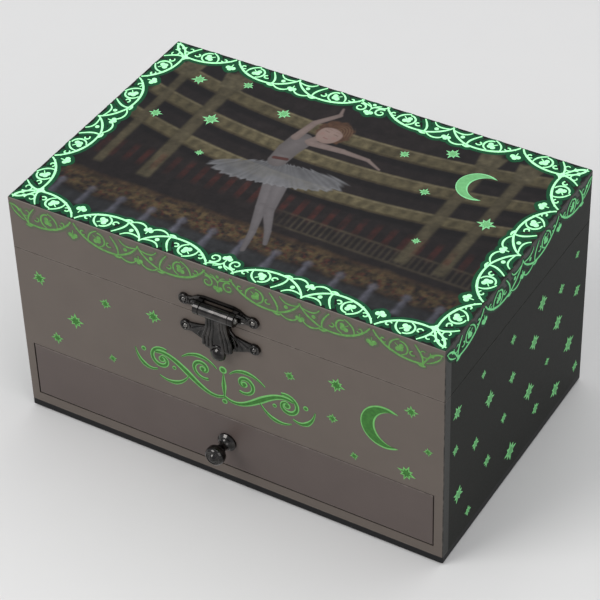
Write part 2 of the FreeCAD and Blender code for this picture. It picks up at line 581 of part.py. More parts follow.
# ---------------------------------------------------------------- drawer
def make_drawer():
    z0, z1 = Z_WINDOW + DRAWER_REVEAL, Z_WINDOW_TOP - DRAWER_REVEAL
    front_half = WINDOW_HALF - DRAWER_REVEAL
    z_knob = (z0 + z1) / 2
    y_front = -HALF_D
    y_back = y_front + DRAWER_FRONT
    front = block(-front_half, front_half, y_front, y_back, z0, z1)
    front = round_edges(front, 0.3, lambda middle, run: abs(middle.y - y_front) < 0.01)
    screw_hole = rod("y", KNOB_SCREW_RADIUS, (0, y_front, z_knob), DRAWER_FRONT)
    save("drawer_front", front.cut(screw_hole))

    half = IN_W - DRAWER_SIDE_CLEARANCE
    y_end = IN_D - DRAWER_REAR_CLEARANCE
    z_bottom = Z_WINDOW + SLIDE_GAP
    z_floor = z_bottom + DRAWER_BOTTOM
    z_side = z_floor + DRAWER_SIDE_HEIGHT
    # The bottom board stops short of the front's lower edge, which reaches down past it.
    save("drawer_bottom", block(-half, half, y_back, y_end, z_bottom, z_floor))
    sides = [block(*sorted((s * (half - DRAWER_SIDE), s * half)), y_back, y_end, z_floor, z_side) for s in (-1, 1)]
    save("drawer_sides", *sides)
    inner = half - DRAWER_SIDE
    save("drawer_back", block(-inner, inner, y_end - DRAWER_SIDE, y_end, z_floor, z_side))
    lining = block(-inner, inner, y_back, y_end - DRAWER_SIDE, z_floor, z_floor + DRAWER_LINING)
    save("drawer_lining", lining)

    save("drawer_knob", make_knob(y_front, z_knob))
    head = rod("y", KNOB_SCREW_HEAD_RADIUS, (0, y_back, z_knob), 1.6)
    shank = rod("y", KNOB_SCREW_RADIUS, (0, y_front - KNOB_SCREW_DEPTH, z_knob), KNOB_SCREW_DEPTH + DRAWER_FRONT)
    slot = block(-0.4, 0.4, y_back + 0.9, y_back + 2, z_knob - 4, z_knob + 4)
    save("knob_screw", shank.fuse(head).cut(slot))


def smooth_line(profile):
    """Spline edge through radius and height pairs."""
    spline = Part.BSplineCurve()
    spline.interpolate([Vector(r, 0, h) for r, h in profile])
    return spline.toShape()


def make_knob(y_front, z_knob):
    """Turned knob: a rose against the board, a waist, and a head with a sunk ring round a boss."""
    reach, head, rose = KNOB_REACH, KNOB_RADIUS, KNOB_ROSE_RADIUS
    neck = head * 0.46
    waist = [(rose * 0.8, 1.7), (neck * 1.06, reach * 0.25), (neck, reach * 0.38), (head * 0.66, reach * 0.5),
             (head * 0.95, reach * 0.62), (head, reach * 0.73), (head * 0.93, reach * 0.85), (head * 0.74, reach * 0.92)]
    boss = [(head * 0.74, reach * 0.92), (head * 0.56, reach * 0.9), (head * 0.34, reach * 0.97), (head * 0.12, reach)]
    edges = [
        Part.makeLine(Vector(0, 0, 0), Vector(rose, 0, 0)),
        Part.makeLine(Vector(rose, 0, 0), Vector(rose, 0, 0.8)),
        Part.makeLine(Vector(rose, 0, 0.8), Vector(waist[0][0], 0, waist[0][1])),
        smooth_line(waist),
        smooth_line(boss),
        Part.makeLine(Vector(boss[-1][0], 0, reach), Vector(0, 0, reach)),
        Part.makeLine(Vector(0, 0, reach), Vector(0, 0, 0)),
    ]
    knob = Part.Face(Part.Wire(edges)).revolve(Vector(0, 0, 0), Vector(0, 0, 1), 360)
    knob = Part.Solid(knob.Shells[0]) if knob.ShapeType != "Solid" else knob
    knob.Placement = FreeCAD.Placement(Vector(0, y_front, z_knob), FreeCAD.Rotation(Vector(1, 0, 0), 90))
    return knob.cut(rod("y", KNOB_SCREW_RADIUS, (0, y_front - KNOB_SCREW_DEPTH, z_knob), KNOB_SCREW_DEPTH))


# ---------------------------------------------------------------- wheels
def tooth_outline(teeth, module, phase):
    """Points of a toothed wheel about the origin: thin, straight-sided teeth with room to run."""
    pitch_angle = 2 * math.pi / teeth
    radius = teeth * module / 2
    root, tip = radius - 1.2 * module, radius + 0.8 * module
    half_root, half_tip = 0.27 * pitch_angle, 0.1 * pitch_angle
    points = []
    for n in range(teeth):
        middle = phase + n * pitch_angle
        for r, a in ((root, -half_root), (tip, -half_tip), (tip, half_tip), (root, half_root)):
            points.append((r * math.cos(middle + a), r * math.sin(middle + a)))
    return points


def wheel(teeth, module, x, y, width, phase=0.0):
    """Spur wheel on an axis along Y. The phase turns it from +X towards +Z."""
    plate = slab(tooth_outline(teeth, module, phase), width, upright(y + width))
    plate.translate(Vector(x, 0, Z_AXIS))
    return plate


def crown_wheel():
    """Face wheel on the spindle, its teeth pointing down onto the drive pinion."""
    pitch = math.pi * CROWN_MODULE
    inner, outer = CROWN_RADIUS - 1.0, CROWN_RADIUS + 1.0
    disc = rod("z", outer, (X_CYLINDER, Y_SPINDLE, Z_CROWN), CROWN_DISC)
    depth = Z_CROWN - (Z_CROWN_PITCH - 0.8 * CROWN_MODULE)
    pieces = [disc]
    for n in range(CROWN_TEETH):
        half_root, half_tip = 0.24 * pitch, 0.09 * pitch
        outline = [(-half_root, 0.1), (half_root, 0.1), (half_tip, -depth), (-half_tip, -depth)]
        wire = Part.makePolygon([Vector(inner, a, Z_CROWN + b) for a, b in outline + outline[:1]])
        tooth = Part.Face(wire).extrude(Vector(outer - inner - 0.1, 0, 0))
        tooth.rotate(Vector(0, 0, 0), Vector(0, 0, 1), (n + 0.5) * 360.0 / CROWN_TEETH)
        tooth.translate(Vector(X_CYLINDER, Y_SPINDLE, 0))
        pieces.append(tooth)
    return pieces[0].multiFuse(pieces[1:])


def worm():
    """Single-start right-hand worm about the governor's axis, with a groove facing the worm wheel."""
    pitch = math.pi * WORM_MODULE
    turns = 4
    length = turns * pitch
    root = WORM_RADIUS - 1.1 * WORM_MODULE
    tip = WORM_RADIUS + 0.7 * WORM_MODULE
    half_root, half_tip = 0.24 * pitch, 0.1 * pitch
    helix = Part.makeHelix(pitch, length, root)
    outline = [(root - 0.1, -half_root), (tip, -half_tip), (tip, half_tip), (root - 0.1, half_root)]
    profile = Part.makePolygon([Vector(r, 0, z) for r, z in outline + outline[:1]])
    thread = Part.Wire(helix).makePipeShell([profile], True, True)
    # At the side facing the wheel (-X) the thread crosses a whole and a half pitch up, so a groove is level.
    thread.translate(Vector(0, 0, -length / 2))
    return thread, length


# ---------------------------------------------------------------- movement
def make_frame():
    bed = block(X_BARREL - 12.0, COMB_END + 1.0, Y_DRIVE - 0.7, Y_BED_END, Z_TRAY, Z_BED_TOP)
    bed = drill(bed, [rod("z", 1.0, (x, y, Z_TRAY), BED) for x, y in bed_screw_points()])
    left = X_BARREL - 4.5
    crown_clear = CROWN_RADIUS + 1.6
    z_low = Z_CROWN_PITCH - 0.8 * CROWN_MODULE - 0.4
    cheek = block(left, X_IDLER + 1.7, Y_CHEEK, Y_CHEEK + CHEEK, Z_BED_TOP, z_low)
    post = block(left, -crown_clear, Y_CHEEK, Y_CHEEK + CHEEK, Z_BED_TOP, Z_BRIDGE)
    rear = block(left, X_CYLINDER + 3.5, Y_REAR_CHEEK, Y_REAR_CHEEK + CHEEK, Z_BED_TOP, Z_AXIS + 5)
    right_post = block(POST_X, POST_X + POST, Y_WORM - 2.5, Y_WORM + 2.5, Z_BED_TOP, Z_BRIDGE)
    frame = join([bed, cheek, post, rear, right_post])
    bores = [
        rod("y", ARBOR + BEARING_GAP, (X_BARREL, Y_CHEEK, Z_AXIS), Y_BED_END - Y_CHEEK),
        rod("y", CYLINDER_SHAFT + BEARING_GAP, (X_CYLINDER, Y_CHEEK, Z_AXIS), Y_BED_END - Y_CHEEK),
        rod("y", IDLER_SHAFT + BEARING_GAP, (X_IDLER, Y_CHEEK, Z_AXIS), CHEEK),
    ]
    save("movement_frame", drill(frame, bores))

    bridge = block(left, POST_X + POST, Y_WORM - 2.5, Y_BRIDGE_END, Z_BRIDGE, Z_BRIDGE + BRIDGE)
    holes = [rod("z", SPINDLE + BEARING_GAP, (X_CYLINDER, Y_SPINDLE, Z_BRIDGE), BRIDGE),
             rod("z", GOVERNOR_SHAFT + BEARING_GAP, (X_WORM, Y_WORM, Z_BRIDGE), BRIDGE)]
    save("movement_bridge", drill(bridge, holes))

    screws = [pan_screw(x, y, Z_BED_TOP, 1.0, BED + DECK - 0.5) for x, y in bed_screw_points()]
    save("movement_screws", *screws)


def pan_screw(x, y, z, radius, depth):
    """Round-headed screw seated on a face, its shank going down."""
    head = Part.makeSphere(radius * 2.1, Vector(x, y, z - radius * 0.9))
    head = head.common(block(x - 5, x + 5, y - 5, y + 5, z, z + 5))
    slot = block(x - 0.2, x + 0.2, y - 5, y + 5, z + 0.7 * radius, z + 5)
    return rod("z", radius, (x, y, z - depth), depth).fuse(head).cut(slot)


def make_comb():
    width = COMB_TINES * COMB_PITCH
    y0 = Y_DRUM + (DRUM_LENGTH - width) / 2
    z0 = Z_AXIS - COMB_SHEET / 2
    tip = X_CYLINDER + CYLINDER_DRUM + CYLINDER_PIN_HEIGHT + COMB_CLEARANCE
    comb = block(tip, COMB_END, y0, y0 + width, z0, z0 + COMB_SHEET)
    slots = [
        block(tip, COMB_BACK - 3.2 * n / COMB_TINES, y0 + n * COMB_PITCH - COMB_SLOT / 2,
              y0 + n * COMB_PITCH + COMB_SLOT / 2, z0, z0 + COMB_SHEET)
        for n in range(1, COMB_TINES)
    ]
    screw_points = [((COMB_BACK + COMB_END) / 2, y0 + share * width) for share in (0.22, 0.78)]
    bores = [rod("z", 0.9, (x, y, z0 - 4), 4 + COMB_SHEET) for x, y in screw_points]
    save("comb", drill(comb, slots + bores))
    block_solid = block(COMB_BACK + 0.4, COMB_END, y0 - 0.4, y0 + width + 0.4, Z_BED_TOP, z0)
    save("comb_block", drill(block_solid, bores))
    save("comb_screws", *[pan_screw(x, y, z0 + COMB_SHEET, 0.9, COMB_SHEET + 3.5) for x, y in screw_points])


def make_winding():
    z = Z_AXIS
    y_step = Y_REAR_CHEEK + CHEEK + 0.6
    y_key = HALF_D + 1.0
    arbor = rod("y", ARBOR, (X_BARREL, Y_CHEEK - 0.6, z), y_step - Y_CHEEK + 0.6)
    shaft = rod("y", KEY_SHAFT, (X_BARREL, y_step, z), y_key + 4.0 - y_step)
    save("winding_shaft", join([arbor, shaft]))

    hub = rod("y", KEY_SHAFT + 1.1, (X_BARREL, y_key, z), 5.6)
    wings = []
    for side in (-1, 1):
        lobe = rod("z", 4.4, (X_BARREL + side * 5.0, y_key + 7.6, z - 0.8), 1.6)
        wings.append(lobe.cut(rod("z", 1.9, (X_BARREL + side * 5.3, y_key + 7.8, z - 0.8), 1.6)))
    web = block(X_BARREL - 3.0, X_BARREL + 3.0, y_key + 4.0, y_key + 9.4, z - 0.8, z + 0.8)
    key = join([hub, web] + wings)
    save("winding_key", key.cut(rod("y", KEY_SHAFT, (X_BARREL, y_key, z), 4.0)))


def make_train():
    great = wheel(GREAT_TEETH, TRAIN_MODULE, X_BARREL, Y_GREAT, GREAT_WIDTH)
    drum = rod("y", BARREL_DRUM, (X_BARREL, Y_GREAT + GREAT_WIDTH, Z_AXIS), BARREL_LENGTH)
    groove = rod("y", BARREL_DRUM + 1, (X_BARREL, Y_GREAT + GREAT_WIDTH + 1.4, Z_AXIS), 0.5)
    groove = groove.cut(rod("y", BARREL_DRUM - 0.5, (X_BARREL, Y_GREAT + GREAT_WIDTH + 1.4, Z_AXIS), 0.5))
    bore = rod("y", ARBOR + BEARING_GAP, (X_BARREL, Y_GREAT, Z_AXIS), GREAT_WIDTH + BARREL_LENGTH)
    save("spring_barrel", great.fuse(drum).cut(groove).cut(bore))

    half_pinion = math.pi / PINION_TEETH
    shaft_end = Y_REAR_CHEEK + CHEEK + 0.4
    pieces = [
        rod("y", CYLINDER_SHAFT, (X_CYLINDER, Y_DRIVE - 0.5, Z_AXIS), shaft_end - Y_DRIVE + 0.5),
        rod("y", CYLINDER_DRUM, (X_CYLINDER, Y_DRUM, Z_AXIS), DRUM_LENGTH),
        wheel(PINION_TEETH, TRAIN_MODULE, X_CYLINDER, Y_GREAT, GREAT_WIDTH, half_pinion),
        wheel(TRAIN_TEETH, FINE_MODULE, X_CYLINDER, Y_TRAIN, WHEEL_WIDTH),
        wheel(DRIVE_TEETH, CROWN_MODULE, X_CYLINDER, Y_DRIVE, DRIVE_WIDTH),
        rod("y", 2.2, (X_CYLINDER, Y_TRAIN + WHEEL_WIDTH, Z_AXIS), Y_DRUM - Y_TRAIN - WHEEL_WIDTH),
        rod("y", 2.0, (X_CYLINDER, Y_DRUM + DRUM_LENGTH, Z_AXIS), Y_GREAT - Y_DRUM - DRUM_LENGTH),
    ]
    save("cylinder", pieces[0].multiFuse(pieces[1:] + cylinder_pins()).removeSplitter())

    half_idler = math.pi / IDLER_TEETH
    idler = [
        rod("y", IDLER_SHAFT, (X_IDLER, Y_WORM_WHEEL - 0.4, Z_AXIS), Y_TRAIN + WHEEL_WIDTH + 0.4 - Y_WORM_WHEEL + 0.4),
        wheel(IDLER_TEETH, FINE_MODULE, X_IDLER, Y_TRAIN, WHEEL_WIDTH, half_idler),
        wheel(WORM_WHEEL_TEETH, WORM_MODULE, X_IDLER, Y_WORM_WHEEL, WHEEL_WIDTH),
    ]
    save("idler_wheel", idler[0].multiFuse(idler[1:]))

    thread, length = worm()
    thread.translate(Vector(X_WORM, Y_WORM, Z_AXIS))
    core = rod("z", WORM_RADIUS - 1.1 * WORM_MODULE, (X_WORM, Y_WORM, Z_AXIS - length / 2 - 1), length + 2)
    shaft = rod("z", GOVERNOR_SHAFT, (X_WORM, Y_WORM, Z_BED_TOP + 0.3), Z_BRIDGE + BRIDGE - 0.1 - Z_BED_TOP - 0.3)
    fan_low = Z_BED_TOP + 1.2
    blades = block(X_WORM - FAN_RADIUS, X_WORM + FAN_RADIUS, Y_WORM - 0.3, Y_WORM + 0.3, fan_low, fan_low + 3.4)
    hub = rod("z", 1.2, (X_WORM, Y_WORM, fan_low), 3.4)
    save("governor", shaft.multiFuse([core, thread, blades, hub]))


def cylinder_pins():
    """Music pins on the drum: each tine's track has a few pins, spread round by a fixed stride."""
    pins = []
    for track in range(COMB_TINES):
        y = Y_DRUM + (DRUM_LENGTH - COMB_TINES * COMB_PITCH) / 2 + (track + 0.5) * COMB_PITCH
        for n in range(3):
            angle = math.radians(track * 137.5 + n * 120 + 15)
            direction = Vector(math.cos(angle), 0, math.sin(angle))
            start = Vector(X_CYLINDER, y, Z_AXIS) + direction * (CYLINDER_DRUM - 0.4)
            pins.append(Part.makeCylinder(0.16, CYLINDER_PIN_HEIGHT + 0.4, start, direction))
    return pins


def make_stop_wire():
    """Bent wire that the lid holds down on the governor's fan."""
    z_pad = Z_BED_TOP + 1.2 + 3.4 + STOP_END_GAP
    x_pad, y_pad = X_WORM + 2.5, Y_WORM + 2.3
    points = [
        Vector(x_pad, y_pad, z_pad), Vector(x_pad, y_pad, Z_STOP_RUN), Vector(X_STOP, y_pad + 9.0, Z_STOP_RUN),
        Vector(X_STOP, Y_STOP, Z_STOP_RUN), Vector(X_STOP, Y_STOP, Z_LID_CEILING - LID_LINING - STOP_END_GAP),
    ]
    pieces = []
    for a, b in zip(points, points[1:]):
        pieces.append(Part.makeCylinder(STOP_WIRE, (b - a).Length, a, b - a))
    pieces += [Part.makeSphere(STOP_WIRE, p) for p in points[1:-1]]
    save("stop_wire", pieces[0].multiFuse(pieces[1:]))


# ---------------------------------------------------------------- dancer
def make_dancer():
    x, y = X_CYLINDER, Y_SPINDLE
    spindle = rod("z", SPINDLE, (x, y, Z_CROWN), Z_TURNTABLE - Z_CROWN)
    pin = rod("z", 0.9, (x, y, Z_TURNTABLE), TURNTABLE + FIGURE_SPRING_HEIGHT - 0.6)
    save("dancer_spindle", crown_wheel().multiFuse([spindle, pin]))
    table = rod("z", TURNTABLE_RADIUS, (x, y, Z_TURNTABLE), TURNTABLE)
    table = table.makeFillet(0.4, [e for e in table.Edges if e.CenterOfMass.z > Z_TURNTABLE + TURNTABLE - 0.1])
    save("turntable", table.cut(rod("z", 0.9, (x, y, Z_TURNTABLE), TURNTABLE)))
    sleeve = rod("z", 2.2, (x, y, Z_TURNTABLE + TURNTABLE), FIGURE_SPRING_HEIGHT)
    save("figure_spring", sleeve.cut(rod("z", 1.4, (x, y, Z_TURNTABLE + TURNTABLE), FIGURE_SPRING_HEIGHT)))

    h = FIGURE_HEIGHT
    hip, neck = 0.47 * h, 0.715 * h
    # A foot disc on the spring carries one standing leg; the other leg is bent.
    figure = [
        limb((0, 0, 0), (0.1, 0, 0.12 * h), 0.55, 0.75),
        limb((0.1, 0, 0.12 * h), (0, 0, 0.27 * h), 0.75, 0.95),
        limb((0, 0, 0.27 * h), (0, 0, hip), 0.95, 1.35),
        limb((0.3, -0.6, hip), (2.6, -2.0, 0.33 * h), 1.3, 0.9),
        limb((2.6, -2.0, 0.33 * h), (0.8, -1.2, 0.2 * h), 0.85, 0.45),
        limb((0, 0, hip - 0.4), (0, 0, 0.55 * h), 1.9, 1.3),
        limb((0, 0, 0.55 * h), (0, 0, 0.67 * h), 1.3, 1.85),
        limb((0, 0, 0.67 * h), (0, 0, neck + 0.6), 0.9, 0.7),
        Part.makeSphere(1.65, Vector(0, -0.1, neck + 2.2)),
        Part.makeSphere(0.85, Vector(0, 0.9, neck + 3.8)),
    ]
    for side in (-1, 1):
        figure.append(limb((side * 1.7, 0, 0.665 * h), (side * 3.6, -0.5, 0.8 * h), 0.6, 0.5))
        figure.append(limb((side * 3.6, -0.5, 0.8 * h), (side * 0.9, -0.7, h - 0.5), 0.5, 0.35))
    foot = rod("z", 2.0, (0, 0, 0), 0.7)
    body = foot.multiFuse([bar.common(block(-9, 9, -9, 9, 0, h + 1)) for bar in figure])
    body.translate(Vector(x, y, Z_FIGURE))

    waist = Z_FIGURE + 0.53 * h
    rise, edge = 1.3, TUTU_RADIUS
    outline = [(1.2, rise), (edge * 0.6, 0.5), (edge, -0.5), (edge, -0.9), (edge * 0.6, -1.1), (1.2, -1.0)]
    wire = Part.makePolygon([Vector(x + r, y, waist + z) for r, z in outline + outline[:1]])
    tutu = Part.Face(wire).revolve(Vector(x, y, 0), Vector(0, 0, 1), 360)
    tutu = tutu if tutu.ShapeType == "Solid" else Part.Solid(tutu.Shells[0])
    save("dancer_tutu", tutu.cut(body))
    save("dancer_figure", body)


def limb(start, end, radius_start, radius_end):
    a, b = Vector(*start), Vector(*end)
    if abs(radius_start - radius_end) < 1e-6:
        radius_end += 0.001
    cone = Part.makeCone(radius_start, radius_end, (b - a).Length, a, b - a)
    return cone.fuse([Part.makeSphere(radius_start, a), Part.makeSphere(radius_end, b)])


def main():
    os.makedirs("parts", exist_ok=True)
    make_case()
    make_linings()
    make_ring_rolls()
    make_lid()
    make_hinges()
    make_hasp()
    make_drawer()
    make_frame()
    make_comb()
    make_winding()
    make_train()
    make_stop_wire()
    make_dancer()


main()
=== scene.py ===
import json
import logging
import math
from dataclasses import dataclass, field
from enum import Enum

import bpy
import numpy as np
from mathutils import Matrix, Vector

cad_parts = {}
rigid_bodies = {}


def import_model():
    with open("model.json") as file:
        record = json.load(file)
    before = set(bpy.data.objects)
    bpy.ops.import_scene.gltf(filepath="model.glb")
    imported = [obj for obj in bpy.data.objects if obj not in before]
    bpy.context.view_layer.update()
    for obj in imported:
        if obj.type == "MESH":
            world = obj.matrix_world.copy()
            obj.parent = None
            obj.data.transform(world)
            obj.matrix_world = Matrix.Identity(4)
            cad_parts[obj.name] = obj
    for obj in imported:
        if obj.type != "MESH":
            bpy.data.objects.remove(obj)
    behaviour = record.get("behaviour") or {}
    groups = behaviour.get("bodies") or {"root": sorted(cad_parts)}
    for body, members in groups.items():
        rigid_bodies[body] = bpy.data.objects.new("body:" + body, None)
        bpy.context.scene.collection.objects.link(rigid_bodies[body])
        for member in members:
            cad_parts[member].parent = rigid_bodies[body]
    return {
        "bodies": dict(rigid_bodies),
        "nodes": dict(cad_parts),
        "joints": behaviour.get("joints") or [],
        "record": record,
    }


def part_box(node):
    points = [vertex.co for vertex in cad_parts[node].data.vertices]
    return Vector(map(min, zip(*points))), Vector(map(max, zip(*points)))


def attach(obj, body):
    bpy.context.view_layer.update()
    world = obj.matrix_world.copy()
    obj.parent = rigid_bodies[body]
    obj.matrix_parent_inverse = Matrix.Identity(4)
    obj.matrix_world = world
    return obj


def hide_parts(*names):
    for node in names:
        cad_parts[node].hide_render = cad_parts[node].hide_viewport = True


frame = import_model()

Colour = tuple[float, float, float, float]
Pair = tuple[float, float]
Triple = tuple[float, float, float]
Skin = tuple[np.ndarray, np.ndarray]  # points, and faces as rows of four indices
Look = bpy.types.Material
Socket = bpy.types.NodeSocket
Tree = bpy.types.NodeTree

LOG = logging.getLogger("jewellery_box")
MM = 0.001
TINY = 1e-9  # keeps a division by a length from failing at zero
NODES = frame["nodes"]
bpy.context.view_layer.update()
CAD_BOARDS = [np.array(corner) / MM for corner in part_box("lid_top")]


# ---------------------------------------------------------------- small helpers
def ink(red: float, green: float, blue: float) -> Colour:
    """Linear colour with full alpha from a screen colour of 0 to 255."""
    levels = [c / 255 for c in (red, green, blue)]
    return (*[c / 12.92 if c <= 0.04045 else ((c + 0.055) / 1.055) ** 2.4 for c in levels], 1.0)


def edges_of(node: str) -> tuple[np.ndarray, np.ndarray]:
    """Lowest and highest corner of a CAD node, in millimetres."""
    low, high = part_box(node)
    return np.array(low) / MM, np.array(high) / MM


class Body(Enum):
    """CAD bodies that new pieces ride on."""

    CASE = "case"
    LID = "lid"
    DRAWER = "drawer"
    DANCER = "dancer"


# ---------------------------------------------------------------- shader groups
class NodeGroup:
    """A shader node group under construction, with short calls for its maths."""

    def __init__(self, name: str, inputs: list[tuple[str, str, object]], outputs: list[tuple[str, str]]) -> None:
        """Makes the group and its sockets.

        Args:
            name: the group's name.
            inputs: socket name, kind ("Float", "Vector" or "Color") and default of each input.
            outputs: socket name and kind of each output.
        """
        self.tree = bpy.data.node_groups.new(name, "ShaderNodeTree")
        for label, kind, value in inputs:
            socket = self.tree.interface.new_socket(label, in_out="INPUT", socket_type=f"NodeSocket{kind}")
            if value is not None:
                socket.default_value = value
        for label, kind in outputs:
            self.tree.interface.new_socket(label, in_out="OUTPUT", socket_type=f"NodeSocket{kind}")
        self.given = self.tree.nodes.new("NodeGroupInput").outputs
        self.result = self.tree.nodes.new("NodeGroupOutput").inputs

    def math(self, operation: str, *values: object, clamp: bool = False) -> Socket:
        """Adds a Math node fed by sockets or numbers and returns its output."""
        return wire_math(self.tree, operation, *values, clamp=clamp)

    def add(self, kind: str, **settings: object) -> bpy.types.Node:
        """Adds any node, with its properties or inputs set by name."""
        return wire_node(self.tree, kind, **settings)


def feed(tree: Tree, socket: Socket, value: object) -> None:
    """Links another socket to an input, or sets the input to a plain value."""
    if isinstance(value, Socket):
        tree.links.new(value, socket)
    else:
        socket.default_value = value


def wire_node(tree: Tree, kind: str, **settings: object) -> bpy.types.Node:
    """Adds a node and sets each named property or input; a socket given as a value is linked.

    Args:
        tree: the node tree that gets the node.
        kind: the node's type without its ShaderNode prefix.
        **settings: properties, or inputs with underscores for spaces.

    Returns:
        The new node.
    """
    node = tree.nodes.new("ShaderNode" + kind)
    for key, value in settings.items():
        if hasattr(node, key) and key not in node.inputs:
            setattr(node, key, value)
        else:
            feed(tree, node.inputs[key.replace("_", " ")], value)
    return node


def wire_math(tree: Tree, operation: str, *values: object, clamp: bool = False) -> Socket:
    """Adds a Math node whose operands are numbers or sockets, and returns its output."""
    node = tree.nodes.new("ShaderNodeMath")
    node.operation, node.use_clamp = operation, clamp
    for socket, value in zip(node.inputs, values):
        feed(tree, socket, value)
    return node.outputs[0]


def wire_mix(tree: Tree, share: object, first: object, second: object) -> Socket:
    """Adds a colour Mix node and returns its output."""
    node = tree.nodes.new("ShaderNodeMix")
    node.data_type = "RGBA"
    for index, value in ((0, share), (6, first), (7, second)):  # the inputs for colours come after those for numbers
        feed(tree, node.inputs[index], value)
    return node.outputs[2]


def build_grain() -> Tree:
    """Two sizes of noise: Shade varies round 1 for colour, and Height is the fine relief of a surface."""
    group = NodeGroup(
        "Fine Grain",
        [("Vector", "Vector", None), ("Scale", "Float", 900.0), ("Spread", "Float", 0.1),
         ("Stretch", "Vector", (1, 1, 1))],
        [("Shade", "Float"), ("Height", "Float")],
    )
    place = group.add("VectorMath", operation="MULTIPLY")
    group.tree.links.new(group.given["Vector"], place.inputs[0])
    group.tree.links.new(group.given["Stretch"], place.inputs[1])
    fine = group.add("TexNoise", Vector=place.outputs[0], Scale=group.given["Scale"], Detail=3.0)
    coarse = group.math("MULTIPLY", group.given["Scale"], 0.05)
    broad = group.add("TexNoise", Vector=place.outputs[0], Scale=coarse, Detail=2.0)
    both = group.math("ADD", group.math("MULTIPLY", fine.outputs[0], 0.5), broad.outputs[0])
    swing = group.math("MULTIPLY", group.math("SUBTRACT", both, 0.75), group.given["Spread"])
    group.tree.links.new(group.math("ADD", 1.0, swing), group.result["Shade"])
    group.tree.links.new(fine.outputs[0], group.result["Height"])
    return group.tree


def build_edge_wear() -> Tree:
    """Mask that is 1 on the edges of an upright box and fades over Reach, broken up by noise."""
    group = NodeGroup(
        "Edge Wear",
        [("Vector", "Vector", None), ("Half Width", "Float", 0.095), ("Half Depth", "Float", 0.061),
         ("Bottom", "Float", 0.0), ("Top", "Float", 0.1), ("Reach", "Float", 0.001)],
        [("Mask", "Float")],
    )
    axes = group.add("SeparateXYZ", Vector=group.given["Vector"]).outputs
    from_side = group.math("SUBTRACT", group.given["Half Width"], group.math("ABSOLUTE", axes[0]))
    from_face = group.math("SUBTRACT", group.given["Half Depth"], group.math("ABSOLUTE", axes[1]))
    above = group.math("SUBTRACT", axes[2], group.given["Bottom"])
    from_rim = group.math("MINIMUM", group.math("SUBTRACT", group.given["Top"], axes[2]), above)
    sets = ((from_side, from_face), (from_side, from_rim), (from_face, from_rim))
    pairs = [group.math("MAXIMUM", a, b) for a, b in sets]
    nearest = group.math("MINIMUM", group.math("MINIMUM", pairs[0], pairs[1]), pairs[2])
    fade = group.math("SUBTRACT", 1.0, group.math("DIVIDE", nearest, group.given["Reach"]), clamp=True)
    broken = group.add("TexNoise", Vector=group.given["Vector"], Scale=420.0, Detail=4.0).outputs[0]
    worn = group.math("MULTIPLY", fade, group.math("MULTIPLY_ADD", broken, 3.0, -1.1, clamp=True), clamp=True)
    group.tree.links.new(worn, group.result["Mask"])
    return group.tree


def build_mottle() -> Tree:
    """Uneven ink: the colour thins and thickens over about a millimetre."""
    group = NodeGroup(
        "Ink Mottle",
        [("Vector", "Vector", None), ("Ink", "Color", (1, 1, 1, 1)), ("Thin", "Color", (0, 0, 0, 1)),
         ("Amount", "Float", 0.5)],
        [("Color", "Color")],
    )
    cloud = group.add("TexNoise", Vector=group.given["Vector"], Scale=700.0, Detail=3.0).outputs[0]
    share = group.math("MULTIPLY", group.math("MULTIPLY_ADD", cloud, 2.4, -0.75, clamp=True), group.given["Amount"])
    group.tree.links.new(wire_mix(group.tree, share, group.given["Ink"], group.given["Thin"]), group.result["Color"])
    return group.tree


GRAIN, WEAR, MOTTLE = build_grain(), build_edge_wear(), build_mottle()


# ---------------------------------------------------------------- finishes
class Material:
    """A material with its Principled shader and short calls to wire patterns into it."""

    def __init__(self, name: str) -> None:
        """Starts a node material.

        Args:
            name: the material's name.
        """
        self.made = bpy.data.materials.new(name)
        self.made.use_nodes = True
        self.tree = self.made.node_tree
        self.shader = self.tree.nodes["Principled BSDF"]
        self.coordinates = wire_node(self.tree, "TexCoord").outputs["Object"]

    def set(self, **values: object) -> "Material":
        """Sets or links shader sockets by name, with underscores for spaces."""
        for key, value in values.items():
            feed(self.tree, self.shader.inputs[key.replace("_", " ")], value)
        return self

    def group(self, tree: Tree, **values: object) -> bpy.types.NodeOutputs:
        """Places a shared node group, on Object coordinates unless a Vector is given, and returns its outputs."""
        node = self.tree.nodes.new("ShaderNodeGroup")
        node.node_tree = tree
        for key, value in {"Vector": self.coordinates, **values}.items():
            feed(self.tree, node.inputs[key.replace("_", " ")], value)
        return node.outputs

    def tint(self, colour: object, shade: Socket) -> Socket:
        """Colour times a shade that varies round 1."""
        node = wire_node(self.tree, "VectorMath", operation="SCALE", Scale=shade)
        feed(self.tree, node.inputs[0], colour if isinstance(colour, Socket) else colour[:3])
        return node.outputs[0]

    def patches(self, scale: float, gain: float, shift: float) -> Socket:
        """Share of cloudy patches of about 1 / scale metres, spread by the gain and shift and held to 0 to 1."""
        cloud = wire_node(self.tree, "TexNoise", Vector=self.coordinates, Scale=scale, Detail=3.0).outputs[0]
        return wire_math(self.tree, "MULTIPLY_ADD", cloud, gain, shift, clamp=True)

    def roughness(self, height: Socket, swing: float, middle: float) -> Socket:
        """Roughness that follows a height, by its swing about the middle."""
        return wire_math(self.tree, "MULTIPLY_ADD", height, swing, middle - swing / 2)

    def bump(self, height: Socket, distance: float, strength: float = 1.0) -> "Material":
        """Feeds a height through a Bump node into the shader's normal."""
        node = wire_node(self.tree, "Bump", Height=height, Distance=distance, Strength=strength)
        return self.set(Normal=node.outputs[0])


